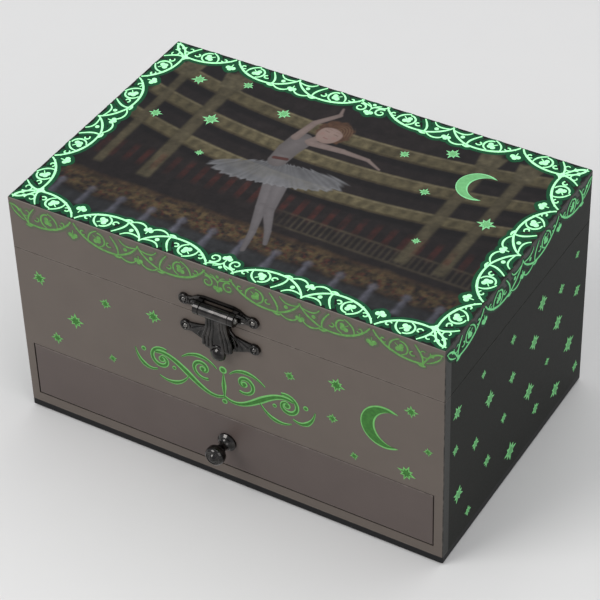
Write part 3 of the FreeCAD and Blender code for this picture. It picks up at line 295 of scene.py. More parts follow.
@dataclass(frozen=True)
class PrintedPaper:
    """Varnished printed paper on a board: fine fibre, faint shading and pale wear along the board's edges.

    Where a lit front colour is given, it covers the face at the box's front, up to the fold, in metres, from its edges,
    and the colour covers the ends and back: the same paper, darker there by painted shade.
    """

    name: str
    colour: Colour
    worn: Colour
    bottom: float
    top: float
    gloss: float = 0.42
    spread: float = 0.16
    shine: float = 0.3
    lit_front_colour: Colour | None = None
    fold: float = 0.0003

    def make(self) -> Look:
        """Builds the material."""
        paper = Material(self.name)
        grain = paper.group(GRAIN, Scale=1500.0, Spread=self.spread)
        wear = paper.group(WEAR, Bottom=self.bottom * MM, Top=self.top * MM, Reach=0.0006)["Mask"]
        colour: object = self.colour
        # The box's front gets the lit tone, and the ends and back get the same paper's tone in painted shade.
        if self.lit_front_colour:
            axes = wire_node(paper.tree, "SeparateXYZ", Vector=paper.coordinates).outputs
            front, end = CAD_BOARDS[0][1] * MM + self.fold, CAD_BOARDS[1][0] * MM - self.fold
            inside = wire_math(paper.tree, "LESS_THAN", wire_math(paper.tree, "ABSOLUTE", axes[0]), end)
            facing = wire_math(paper.tree, "MULTIPLY", wire_math(paper.tree, "LESS_THAN", axes[1], front), inside)
            colour = wire_mix(paper.tree, facing, self.colour, self.lit_front_colour)
        share = wire_math(paper.tree, "MULTIPLY", wear, 0.55)
        faded = wire_mix(paper.tree, share, paper.tint(colour, grain["Shade"]), self.worn)
        rough = paper.roughness(grain["Height"], 0.12, self.gloss)
        paper.set(Base_Color=faded, Roughness=rough, Specular_IOR_Level=self.shine)
        return paper.bump(grain["Height"], 0.00002, 0.35).made


@dataclass(frozen=True)
class PictureFilm:
    """The lid's picture, read from its colour attribute, under clear glossy film."""

    name: str = "lid_picture_film"
    attribute: str = "picture"

    def make(self) -> Look:
        """Builds the material."""
        film = Material(self.name)
        colour = wire_node(film.tree, "Attribute", attribute_name=self.attribute).outputs["Color"]
        grain = film.group(GRAIN, Scale=2600.0, Spread=0.25)
        wave = wire_node(film.tree, "TexNoise", Vector=film.coordinates, Scale=55.0, Detail=1.0).outputs[0]
        film.set(Base_Color=film.tint(colour, grain["Shade"]), Roughness=0.4, Specular_IOR_Level=0.12)
        film.set(Coat_Weight=0.14, Coat_Roughness=0.08)
        return film.bump(wave, 0.00012, 0.25).made


@dataclass(frozen=True)
class GlowInk:
    """Phosphorescent screen-print ink, which gives light of its own colour."""

    name: str
    colour: Colour
    thin: Colour
    glow: float
    amount: float = 0.5

    def make(self) -> Look:
        """Builds the material."""
        paint = Material(self.name)
        colour = paint.group(MOTTLE, Ink=self.colour, Thin=self.thin, Amount=self.amount)["Color"]
        grain = paint.group(GRAIN, Scale=2200.0, Spread=0.2)
        paint.set(Base_Color=colour, Roughness=0.6, Specular_IOR_Level=0.2)
        # The emission is painted glow: the ink gives off light of its own in the render.
        paint.set(Emission_Color=colour, Emission_Strength=self.glow)
        return paint.bump(grain["Height"], 0.00003, 0.5).made


@dataclass(frozen=True)
class Metal:
    """Bare or plated metal, with faint brushing and brighter or duller rubbed patches."""

    name: str
    colour: Colour
    rubbed: Colour
    roughness: float
    brush: Triple = (1.0, 1.0, 1.0)
    relief: float = 0.4
    lacquer: float = 0.0

    def make(self) -> Look:
        """Builds the material."""
        metal = Material(self.name)
        grain = metal.group(GRAIN, Scale=1400.0, Spread=0.25, Stretch=self.brush)
        share = metal.patches(260.0, 2.6, -1.0)
        colour = wire_mix(metal.tree, share, metal.tint(self.colour, grain["Shade"]), self.rubbed)
        rough = metal.roughness(grain["Height"], 0.16, self.roughness)
        metal.set(Base_Color=colour, Metallic=1.0, Roughness=rough, Coat_Weight=self.lacquer, Coat_Roughness=0.05)
        return metal.bump(grain["Height"], 0.00001, self.relief).made


@dataclass(frozen=True)
class Velvet:
    """Short flock pile: a soft sheen, crushed patches and a fine nap."""

    name: str
    colour: Colour
    crushed: Colour
    sheen: Colour = (1.0, 0.62, 0.66, 1.0)

    def make(self) -> Look:
        """Builds the material."""
        pile = Material(self.name)
        grain = pile.group(GRAIN, Scale=3200.0, Spread=0.7)
        share = pile.patches(90.0, 2.2, -0.8)
        colour = wire_mix(pile.tree, share, pile.tint(self.colour, grain["Shade"]), self.crushed)
        pile.set(Base_Color=colour, Roughness=0.95, Sheen_Weight=0.7, Sheen_Roughness=0.35, Sheen_Tint=self.sheen)
        return pile.bump(grain["Height"], 0.00015, 0.7).made


@dataclass(frozen=True)
class Timber:
    """Plain board with long grain lines; the stretch is smallest along the grain."""

    name: str
    pale: Colour
    dark: Colour
    stretch: Triple = (0.06, 1.0, 1.0)
    roughness: float = 0.6

    def make(self) -> Look:
        """Builds the material."""
        board = Material(self.name)
        stretch = wire_node(board.tree, "Mapping", Vector=board.coordinates, Scale=self.stretch).outputs[0]
        rings = wire_node(board.tree, "TexNoise", Vector=stretch, Scale=520.0, Detail=4.0, Distortion=0.4).outputs[0]
        share = wire_math(board.tree, "MULTIPLY_ADD", rings, 2.6, -0.9, clamp=True)
        board.set(Base_Color=wire_mix(board.tree, share, self.pale, self.dark), Roughness=self.roughness)
        return board.bump(rings, 0.00006, 0.5).made


@dataclass(frozen=True)
class Moulded:
    """Moulded plastic, painted or plain, with a faint orange-peel relief."""

    name: str
    colour: Colour
    roughness: float = 0.35
    attribute: str = ""

    def make(self) -> Look:
        """Builds the material."""
        plastic = Material(self.name)
        grain = plastic.group(GRAIN, Scale=900.0, Spread=0.08)
        colour = self.colour
        if self.attribute:
            colour = wire_node(plastic.tree, "Attribute", attribute_name=self.attribute).outputs["Color"]
        plastic.set(Base_Color=plastic.tint(colour, grain["Shade"]), Roughness=self.roughness, Coat_Weight=0.2)
        return plastic.bump(grain["Height"], 0.00003, 0.3).made


class Finishes:
    """Every finish of the box, made once."""

    def __init__(self) -> None:
        """Makes the papers, the inks, the metals and cloths, and the rest."""
        self._papers()
        # One glow ink in lit and shaded copies: brightest on the lid's top, dimmer on the ends and back, dimmest on the
        # front. These differences in colour and in glow are painted light and shade.
        self.inks = {
            name: GlowInk(name, ink(*colour), ink(*thin), glow, amount).make()
            for name, colour, thin, glow, amount in (
                ("border_glow", (168, 240, 180), (120, 216, 144), 0.5, 0.5),
                # The halo inks are painted glow spreading round the bright lines, greenish on each face.
                ("border_halo", (4, 72, 40), (4, 52, 30), 0.16, 0.6),
                ("front_border_halo", (86, 94, 74), (92, 88, 80), 0.02, 0.8),
                ("side_border_halo", (14, 52, 32), (16, 38, 26), 0.06, 0.7),
                ("front_border_glow", (96, 150, 78), (66, 108, 56), 0.2, 0.7),
                ("side_border_glow", (104, 186, 122), (66, 130, 80), 0.36, 0.5),
                # Each star ink comes as a lighter one for the rims and a darker one for the middles: painted shading of
                # the raised ink.
                ("star_edge_glow", (104, 168, 94), (76, 128, 70), 0.22, 0.4),
                ("star_fill_glow", (58, 112, 48), (42, 82, 38), 0.16, 0.7),
                ("side_star_edge_glow", (110, 178, 116), (84, 146, 92), 0.3, 0.4),
                ("side_star_glow", (86, 150, 94), (64, 116, 70), 0.26, 0.6),
                ("top_star_edge_glow", (126, 196, 138), (100, 164, 114), 0.3, 0.4),
                ("top_star_glow", (104, 168, 110), (82, 140, 88), 0.2, 0.5),
            )
        }
        self.nickel = Metal("black_nickel", ink(32, 31, 30), ink(70, 67, 65), 0.14, relief=0.15, lacquer=0.4).make()
        self.nail = Metal("nail_nickel", ink(64, 62, 61), ink(132, 128, 122), 0.14, relief=0.15, lacquer=0.7).make()
        self.steel = Metal("bright_steel", ink(176, 178, 180), ink(202, 203, 204), 0.28).make()
        self.plate = Metal("zinc_plate", ink(150, 151, 150), ink(176, 178, 170), 0.42, (1.0, 6.0, 6.0)).make()
        self.brass = Metal("lacquered_brass", ink(196, 158, 88), ink(214, 182, 118), 0.3).make()
        self.felt = Velvet("base_felt_pile", ink(22, 22, 24), ink(34, 34, 36)).make()
        self.velvet = Velvet("lining_flock", ink(112, 22, 38), ink(136, 34, 50)).make()
        self.roll = Velvet("roll_velvet", ink(124, 26, 42), ink(150, 42, 58)).make()
        self.piping = Velvet("satin_piping", ink(150, 52, 70), ink(176, 84, 98)).make()
        self.timber = Timber("drawer_timber", ink(196, 162, 120), ink(150, 112, 74)).make()
        self.side_timber = Timber("drawer_side_timber", ink(196, 162, 120), ink(156, 120, 82), (1.0, 0.05, 1.0)).make()
        self.turntable = Moulded("turntable_plastic", ink(238, 230, 228), 0.2).make()
        self.figure = Moulded("figure_paint", ink(255, 255, 255), 0.42, "paint").make()
        self.picture = PictureFilm().make()
        self.mirror = self._mirror()
        self.tulle = self._tulle()

    def _papers(self) -> None:
        """Printed papers, whose wear lies at the levels of the CAD boards they cover."""
        case = [corner[2] for corner in edges_of("case_front")]
        lid = [edges_of("lid_front")[0][2], edges_of("lid_top")[1][2]]
        drawer = [corner[2] for corner in edges_of("drawer_front")]
        # The dark tone on the ends, back and lid sides is the front's paper in painted shade, not a paper of its own.
        taupe, pale = ink(95, 86, 79), ink(128, 120, 112)
        shaded_paper_tone, rubbed = ink(27, 28, 25), ink(58, 57, 53)
        self.front = PrintedPaper("front_print", shaded_paper_tone, pale, *case, lit_front_colour=taupe).make()
        self.lid_front = PrintedPaper("lid_front_print", shaded_paper_tone, pale, *lid, lit_front_colour=taupe).make()
        self.drawer_front = PrintedPaper("drawer_front_print", ink(86, 76, 72), pale, *drawer).make()
        self.side = PrintedPaper("side_print", shaded_paper_tone, rubbed, *case, 0.45, shine=0.07).make()
        self.lid_side = PrintedPaper("lid_side_print", shaded_paper_tone, rubbed, *lid, 0.45, shine=0.07).make()
        self.base = PrintedPaper("base_paint", ink(26, 26, 27), ink(52, 50, 47), 1.0, 4.0, 0.5, shine=0.15).make()

    @staticmethod
    def _mirror() -> Look:
        """Silvered glass with a faint haze of dust."""
        glass = Material("silvered_glass")
        haze = wire_node(glass.tree, "TexNoise", Vector=glass.coordinates, Scale=60.0, Detail=4.0).outputs[0]
        rough = wire_math(glass.tree, "MULTIPLY_ADD", haze, 0.05, 0.005)
        silver = wire_mix(glass.tree, haze, ink(226, 232, 232), ink(210, 218, 220))
        glass.set(Metallic=1.0, Roughness=rough, Base_Color=silver)
        return glass.made

    @staticmethod
    def _tulle() -> Look:
        """Net: the fine mesh lets part of the light through, as a pattern of holes in the piece's own map."""
        net = Material("pink_tulle")
        plan = wire_node(net.tree, "UVMap", uv_map="UVMap").outputs[0]
        cells = wire_node(net.tree, "TexVoronoi", Vector=plan, Scale=1.0, feature="DISTANCE_TO_EDGE")
        thread = wire_math(net.tree, "LESS_THAN", cells.outputs["Distance"], 0.16)
        alpha = wire_math(net.tree, "MULTIPLY_ADD", thread, 0.45, 0.45)
        pink = wire_mix(net.tree, thread, ink(244, 214, 222), ink(250, 236, 240))
        net.set(Base_Color=pink, Alpha=alpha, Roughness=0.7, Sheen_Weight=0.3)
        return net.made


# ---------------------------------------------------------------- meshes
def fill_mesh(name: str, verts: np.ndarray, faces: np.ndarray) -> bpy.types.Mesh:
    """Makes a mesh; a face is a row of four indices, and a row whose last two agree is a triangle."""
    mesh = bpy.data.meshes.new(name)
    sides = [tuple(f) if f[2] != f[3] else tuple(f[:3]) for f in faces.tolist()]
    mesh.from_pydata(verts.tolist(), [], sides)
    return mesh


def show(name: str, data: bpy.types.ID) -> bpy.types.Object:
    """Makes an object of some data and puts it in the scene."""
    shown = bpy.data.objects.new(name, data)
    bpy.context.scene.collection.objects.link(shown)
    return shown


def make_piece(
    name: str, verts: np.ndarray, faces: np.ndarray, body: Body, look: Look, smooth: bool = True
) -> bpy.types.Object:
    """Makes a mesh piece that rides on a body.

    Args:
        name: the piece's name.
        verts: points in millimetres, in the box's frame.
        faces: rows of four indices; a row whose last two agree is a triangle.
        body: the CAD body it moves with.
        look: its material.
        smooth: whether its faces are shaded smooth.

    Returns:
        The new object.
    """
    mesh = fill_mesh(name, verts * MM, faces)
    mesh.polygons.foreach_set("use_smooth", np.full(len(mesh.polygons), smooth))
    mesh.materials.append(look)
    mesh.update()
    piece = show(name, mesh)
    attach(piece, body.value)
    LOG.info("%s: %d faces on %s", name, len(faces), body.value)
    return piece


def loft_faces(rings: int, around: int, closed: bool = True) -> np.ndarray:
    """Quads between successive rings of points, each ring closed on itself unless told otherwise."""
    step = np.arange(around if closed else around - 1)
    row = np.arange(rings - 1)[:, None] * around
    a, b = row + step, row + (step + 1) % around
    return np.stack([a, b, b + around, a + around], axis=-1).reshape(-1, 4)


def cap_faces(start: int, around: int, centre: int, flip: bool) -> np.ndarray:
    """Triangles from one ring to a centre point, as quads whose last two corners agree."""
    step = np.arange(around)
    a, b = start + step, start + (step + 1) % around
    middle = np.full(around, centre)
    return np.stack([b, a, middle, middle] if flip else [a, b, middle, middle], axis=-1)


def closed_loft(rings: np.ndarray) -> Skin:
    """A closed skin over rings of points, with a fan at each end.

    Args:
        rings: array of shape (rings, around, 3), each ring turning right-handed about the way the rings run.

    Returns:
        Points and faces.
    """
    count, around, _ = rings.shape
    ends = np.stack([rings[0].mean(0), rings[-1].mean(0)])
    verts = np.vstack([rings.reshape(-1, 3), ends])
    faces = [loft_faces(count, around), cap_faces(0, around, count * around, True),
             cap_faces((count - 1) * around, around, count * around + 1, False)]
    return verts, np.vstack(faces)


def merge(parts: list[Skin]) -> Skin:
    """Joins several meshes into one pair of arrays."""
    starts = np.cumsum([0] + [len(v) for v, _ in parts[:-1]])
    return np.vstack([v for v, _ in parts]), np.vstack([f + s for (_, f), s in zip(parts, starts)])


def paint_points(piece: bpy.types.Object, name: str, colours: np.ndarray) -> None:
    """Stores one linear colour per vertex in a named attribute."""
    attribute = piece.data.color_attributes.new(name, "FLOAT_COLOR", "POINT")
    full = np.ones((len(colours), 4), np.float32)
    full[:, :3] = colours
    attribute.data.foreach_set("color", full.ravel())


# ---------------------------------------------------------------- flat drawing
SIDES = ("front", "right", "back", "left")
ROUND = ((1, 0, 0), (0, 1, 0), (-1, 0, 0), (0, -1, 0))  # along each side, going round the box


def bend(*points: Pair | Triple, count: int = 22) -> np.ndarray:
    """Bezier curve of any order, in the plane or in space: the points weighted by the binomial terms."""
    grid = np.linspace(0, 1, count)[:, None]
    order = len(points) - 1
    terms = [math.comb(order, k) * grid**k * (1 - grid) ** (order - k) for k in range(order + 1)]
    return sum(term * np.array(point, float) for term, point in zip(terms, points))


def polar(centre: Pair, radius: np.ndarray | float, angle: np.ndarray) -> np.ndarray:
    """Points at a radius and angle about a centre."""
    return np.array(centre) + np.stack([radius * np.cos(angle), radius * np.sin(angle)], axis=-1)


def curl(centre: Pair, outer: float, inner: float, start: float, turn: float, count: int = 26) -> np.ndarray:
    """Spiral whose radius runs evenly from outer to inner while it turns from a start angle, in degrees."""
    share = np.linspace(0, 1, count)
    return polar(centre, outer + (inner - outer) * share, np.radians(start + turn * share))


@dataclass
class Stroke:
    """A line of ink: its middle line and the width at its start, middle and end."""

    line: np.ndarray
    widths: Triple = (0.3, 0.6, 0.3)

    def mirrored(self, about: float) -> "Stroke":
        """The same stroke reflected about an upright line."""
        return Stroke(self.line * (-1, 1) + (2 * about, 0), self.widths)

    def fattened(self, by: float) -> "Stroke":
        """The same stroke, wider by a fixed amount all along."""
        return Stroke(self.line, tuple(width + by for width in self.widths))

    def narrowed(self, share: float) -> "Stroke":
        """The same stroke at a share of its width."""
        return Stroke(self.line, tuple(width * share for width in self.widths))


@dataclass
class Blot:
    """A filled shape of ink: its outline, seen from its middle."""

    outline: np.ndarray

    def mirrored(self, about: float) -> "Blot":
        """The same shape reflected about an upright line, still turning the same way."""
        return Blot((self.outline * (-1, 1) + (2 * about, 0))[::-1])

    def fattened(self, by: float) -> "Blot":
        """The same shape, grown from its middle by half an amount."""
        middle = self.outline.mean(0)
        away = self.outline - middle
        reach = np.linalg.norm(away, axis=1, keepdims=True)
        return Blot(middle + away * (reach + by / 2) / reach)


Marks = list[Stroke | Blot]


def disc(centre: Pair, radius: float, count: int = 14) -> Blot:
    """Round dot of ink."""
    return Blot(polar(centre, radius, np.linspace(0, 2 * np.pi, count, endpoint=False)))


def trefoil(centre: Pair, size: float, turn: float) -> Marks:
    """Clover of three round leaves on a short stem; turn is the stem's direction in degrees."""
    leaves = [disc(polar(centre, size * 0.52, math.radians(turn + offset)), size * 0.44) for offset in (105, 180, 255)]
    tip = polar(centre, size * 0.95, math.radians(turn))
    return [*leaves, Stroke(bend(centre, tip, count=6), (0.5, 0.4, 0.3))]


def star(centre: Pair, size: float, turn: float = 0.0) -> Blot:
    """Star of four long and four short points."""
    angle = np.arange(16) * np.pi / 8 + math.radians(turn)
    radius = np.tile([1.0, 0.46, 0.76, 0.46], 4) * size / 2
    return Blot(np.array(centre) + np.stack([radius * np.sin(angle), radius * np.cos(angle)], axis=1)[::-1])


def crescent(centre: Pair, radius: float, shift: float, inner: float) -> Blot:
    """Moon that opens to the right: a large arc, closed by a smaller one set to its right."""
    cross = (radius**2 - inner**2 + shift**2) / (2 * shift)
    reach = math.acos(cross / radius)
    outer = np.linspace(reach, 2 * np.pi - reach, 40)
    inside = math.atan2(math.sin(reach) * radius, cross - shift)
    back = np.linspace(2 * np.pi - inside, inside, 40)[1:-1]
    return Blot(np.array(centre) + np.vstack([polar((0, 0), radius, outer), polar((shift, 0), inner, back)]))


@dataclass(frozen=True)
class Panel:
    """A flat face of the box: a corner in millimetres and the directions of its drawing's two axes."""

    corner: Triple
    along: Triple
    up: Triple
    length: float = 0.0
    margin: float = 0.25

    def place(self, flat: np.ndarray, height: np.ndarray | float) -> np.ndarray:
        """Points of a drawing, lifted off the face, and kept within it where its length is given."""
        out = np.cross(self.along, self.up)
        if self.length:
            flat = np.clip(flat, self.margin, (self.length - self.margin, self.length))
        lift = np.broadcast_to(np.asarray(height, float), flat.shape[:-1])[..., None]
        across, upward = flat[..., :1] * np.array(self.along), flat[..., 1:2] * np.array(self.up)
        return np.array(self.corner) + across + upward + lift * out


@dataclass
class Drawing:
    """Ink laid on one face in low relief.

    Each mark's top is a step above its neighbours', and rises by a step along a stroke.
    """

    panel: Panel
    relief: float = 0.14
    sunk: float = 0.03
    step: float = 0.0025
    levels: int = 23
    shoulder: float = 0.72
    parts: list[Skin] = field(default_factory=list)

    def lay(self, marks: Marks) -> "Drawing":
        """Adds strokes and filled shapes."""
        for mark in marks:
            self.parts.append(self._stroke(mark) if isinstance(mark, Stroke) else self._blot(mark))
        return self

    def _stroke(self, stroke: Stroke) -> Skin:
        """Skin of a stroke: a flat-topped ridge swept along the line, its width a parabola through three values."""
        line = stroke.line
        run = np.gradient(line, axis=0)
        run /= np.maximum(np.linalg.norm(run, axis=1, keepdims=True), TINY)
        side = np.stack([-run[:, 1], run[:, 0]], axis=1)
        share = np.linspace(0, 1, len(line))
        width = np.interp(share, [0, 0.5, 1], stroke.widths)[:, None] / 2
        raised = self._level() + self.step * share[:, None]
        levels = np.hstack([np.full_like(raised, -self.sunk), raised, raised, np.full_like(raised, -self.sunk)])
        offsets = np.array([1.0, self.shoulder, -self.shoulder, -1.0])
        flat = line[:, None, :] + side[:, None, :] * (width[:, :, None] * offsets[None, :, None])
        return closed_loft(self.panel.place(flat, levels))

    def _level(self) -> float:
        """Height of the next mark: a hair different from its neighbours', so that no two tops lie in one plane."""
        return self.relief + self.step * (len(self.parts) % self.levels)

    def _blot(self, blot: Blot) -> Skin:
        """Skin of a filled shape: an outline below, the same at the top, drawn in a little, and a fan across each."""
        middle = blot.outline.mean(0)
        top = middle + (blot.outline - middle) * 0.94
        level = self._level()
        rings = np.stack([self.panel.place(blot.outline, -self.sunk), self.panel.place(blot.outline, level * 0.6),
                          self.panel.place(top, level)])
        return closed_loft(rings)

    def _moon(self, blot: Blot) -> Skin:
        """Skin of a crescent: its outer and inner arcs joined point to point, top and bottom."""
        half = len(blot.outline) // 2 + 1
        outer, inner = blot.outline[:half], blot.outline[half:][::-1]
        inner = np.vstack([outer[:1], inner, outer[-1:]])
        pick = np.linspace(0, len(inner) - 1, len(outer))
        inner = np.stack([np.interp(pick, np.arange(len(inner)), inner[:, k]) for k in (0, 1)], axis=1)
        rings = np.stack([self.panel.place(inner, -self.sunk), self.panel.place(inner, self.relief),
                          self.panel.place(outer, self.relief), self.panel.place(outer, -self.sunk)], axis=1)
        return closed_loft(rings)

    def lay_moon(self, blot: Blot) -> "Drawing":
        """Adds a crescent."""
        self.parts.append(self._moon(blot))
        return self

    def make(self, name: str, body: Body, look: Look, slot: str) -> bpy.types.Object:
        """Turns everything laid so far into one piece."""
        verts, faces = merge(self.parts)
        return make_piece(name, verts, faces, body, look, smooth=False)


# ---------------------------------------------------------------- glow border
@dataclass
class GlowBorder:
    """Scrolling vine border, drawn once for half an edge and mirrored about its middle.

    The drawing runs along an edge and in from it. Each edge is a corner heart, arches that hold a scroll and a clover,
    a crossing of two arches, and on the long edges a palm at the middle.
    """

    near: float = 0.9
    far: float = 9.0
    long_half: float = 95.0
    short_half: float = 61.0

    def corner(self) -> Marks:
        """Half of the corner heart, the other half being drawn by the next edge."""
        return [
            Stroke(bend((0.9, 2.0), (3.0, 1.6), (6.4, 3.0), (9.2, 9.2)), (0.5, 1.0, 0.7)),
            Stroke(bend((1.6, 2.4), (2.2, 5.0), (5.2, 7.0), (7.6, 7.9)), (0.35, 0.8, 0.35)),
            Stroke(curl((8.6, 3.6), 2.6, 0.5, 200, -330), (0.5, 0.55, 0.3)),
            disc((5.3, 3.7), 0.75), disc((9.4, 9.4), 0.8),
        ]

    def vine(self, node: float, foot: float) -> Marks:
        """An arch from a node at the inner side to its foot at the edge, with a scroll and a clover under it.

        Args:
            node: distance along the edge of the arch's high end.
            foot: distance along the edge of its low end.

        Returns:
            The arch's marks.
        """
        span = foot - node

        def at(share: float, rise: float) -> Pair:
            """Point by its share of the span and its distance from the edge."""
            return node + span * share, rise

        way = 1 if span > 0 else -1
        top, low = 90 + 12 * way, 170 * way
        marks: Marks = [
            Stroke(bend(at(0, 8.7), at(0.42, self.far + 1.3), at(0.82, 6.8), at(1, self.near)), (0.8, 1.15, 0.7)),
            Stroke(bend(at(-0.07, 9.5), at(0.0, 10.2), at(0.05, 9.6), at(0.11, 8.9)), (0.6, 1.3, 0.7)),
            Stroke(bend(at(0, 8.8), at(-0.05, 6.2), at(0.04, 3.6), at(0.15, self.near)), (0.7, 0.95, 0.45)),
            Stroke(curl(at(0.2, 5.4), 1.35, 0.6, 90 + 60 * way, -250 * way), (0.5, 0.75, 0.5)),
            Stroke(curl(at(0.45, 4.7), 3.3, 3.0, top, low), (0.5, 0.95, 0.6)),
            Stroke(bend(at(0.66, 7.6), at(0.7, 4.4), at(0.62, 2.2), at(0.46, self.near)), (0.4, 0.85, 0.5)),
            Stroke(curl(at(0.79, 3.7), 1.35, 0.6, 90 + 60 * way, -280 * way), (0.45, 0.75, 0.5)),
            disc(at(0.93, 3.0), 0.4),
        ]
        return marks + trefoil(at(0.47, 4.6), 2.3, 90 - 130 * way)

    def crossing(self, first: float, last: float) -> Marks:
        """Two long arcs that cross between two nodes, each with a small arch and a dot, and a clover above."""
        middle, near = (first + last) / 2, self.near
        arc = bend((first, 8.8), (first + 3.4, 8.0), (middle - 1.6, 5.0), (middle + 0.2, near))
        over = bend((first + 1.2, 8.6), (first + 3.4, 11.2), (middle - 2.0, 11.2), (middle - 0.7, 7.4))
        under = bend((first + 1.4, near), (first + 3.0, 3.4), (first + 5.0, 3.8), (middle - 1.0, 2.6))
        half = [
            Stroke(arc, (0.8, 1.05, 0.6)), Stroke(over, (0.5, 0.85, 0.5)), Stroke(under, (0.4, 0.8, 0.5)),
            disc((first + 4.0, 4.9), 0.85),
        ]
        return half + [m.mirrored(middle) for m in half] + trefoil((middle, 7.7), 2.1, 270)

    def palm(self, middle: float) -> Marks:
        """Half of the motif at the middle of a long edge: a clover between two curled leaves."""
        leaf = bend((middle - 6.4, self.near), (middle - 4.6, 4.2), (middle - 2.0, 2.2), (middle, 4.6))
        vein = bend((middle - 3.2, 2.0), (middle - 1.6, 2.4), (middle - 0.8, 3.2), (middle, 5.2))
        scroll = curl((middle - 4.6, 6.0), 2.7, 0.5, 250, 420)
        return [Stroke(scroll, (0.9, 0.7, 0.35)), Stroke(leaf, (0.4, 0.8, 0.5)), Stroke(vein, (0.3, 0.5, 0.5))]

    def edge(self, long: bool) -> Marks:
        """All marks of one edge."""
        half = self.corner() + self.vine(9.4, 29.4) + trefoil((30.0, 6.6), 2.3, 270) + self.vine(50.4, 30.6)
        if long:
            half += self.crossing(50.0, 69.6) + self.vine(69.6, 89.6) + self.palm(self.long_half)
            about = self.long_half
            middle = trefoil((about, 7.4), 2.2, 270) + [disc((about, 2.2), 0.7)]
        else:
            about = self.short_half
            middle = self.crossing(50.6, 2 * about - 50.6)
        return half + [m.mirrored(about) for m in half] + middle


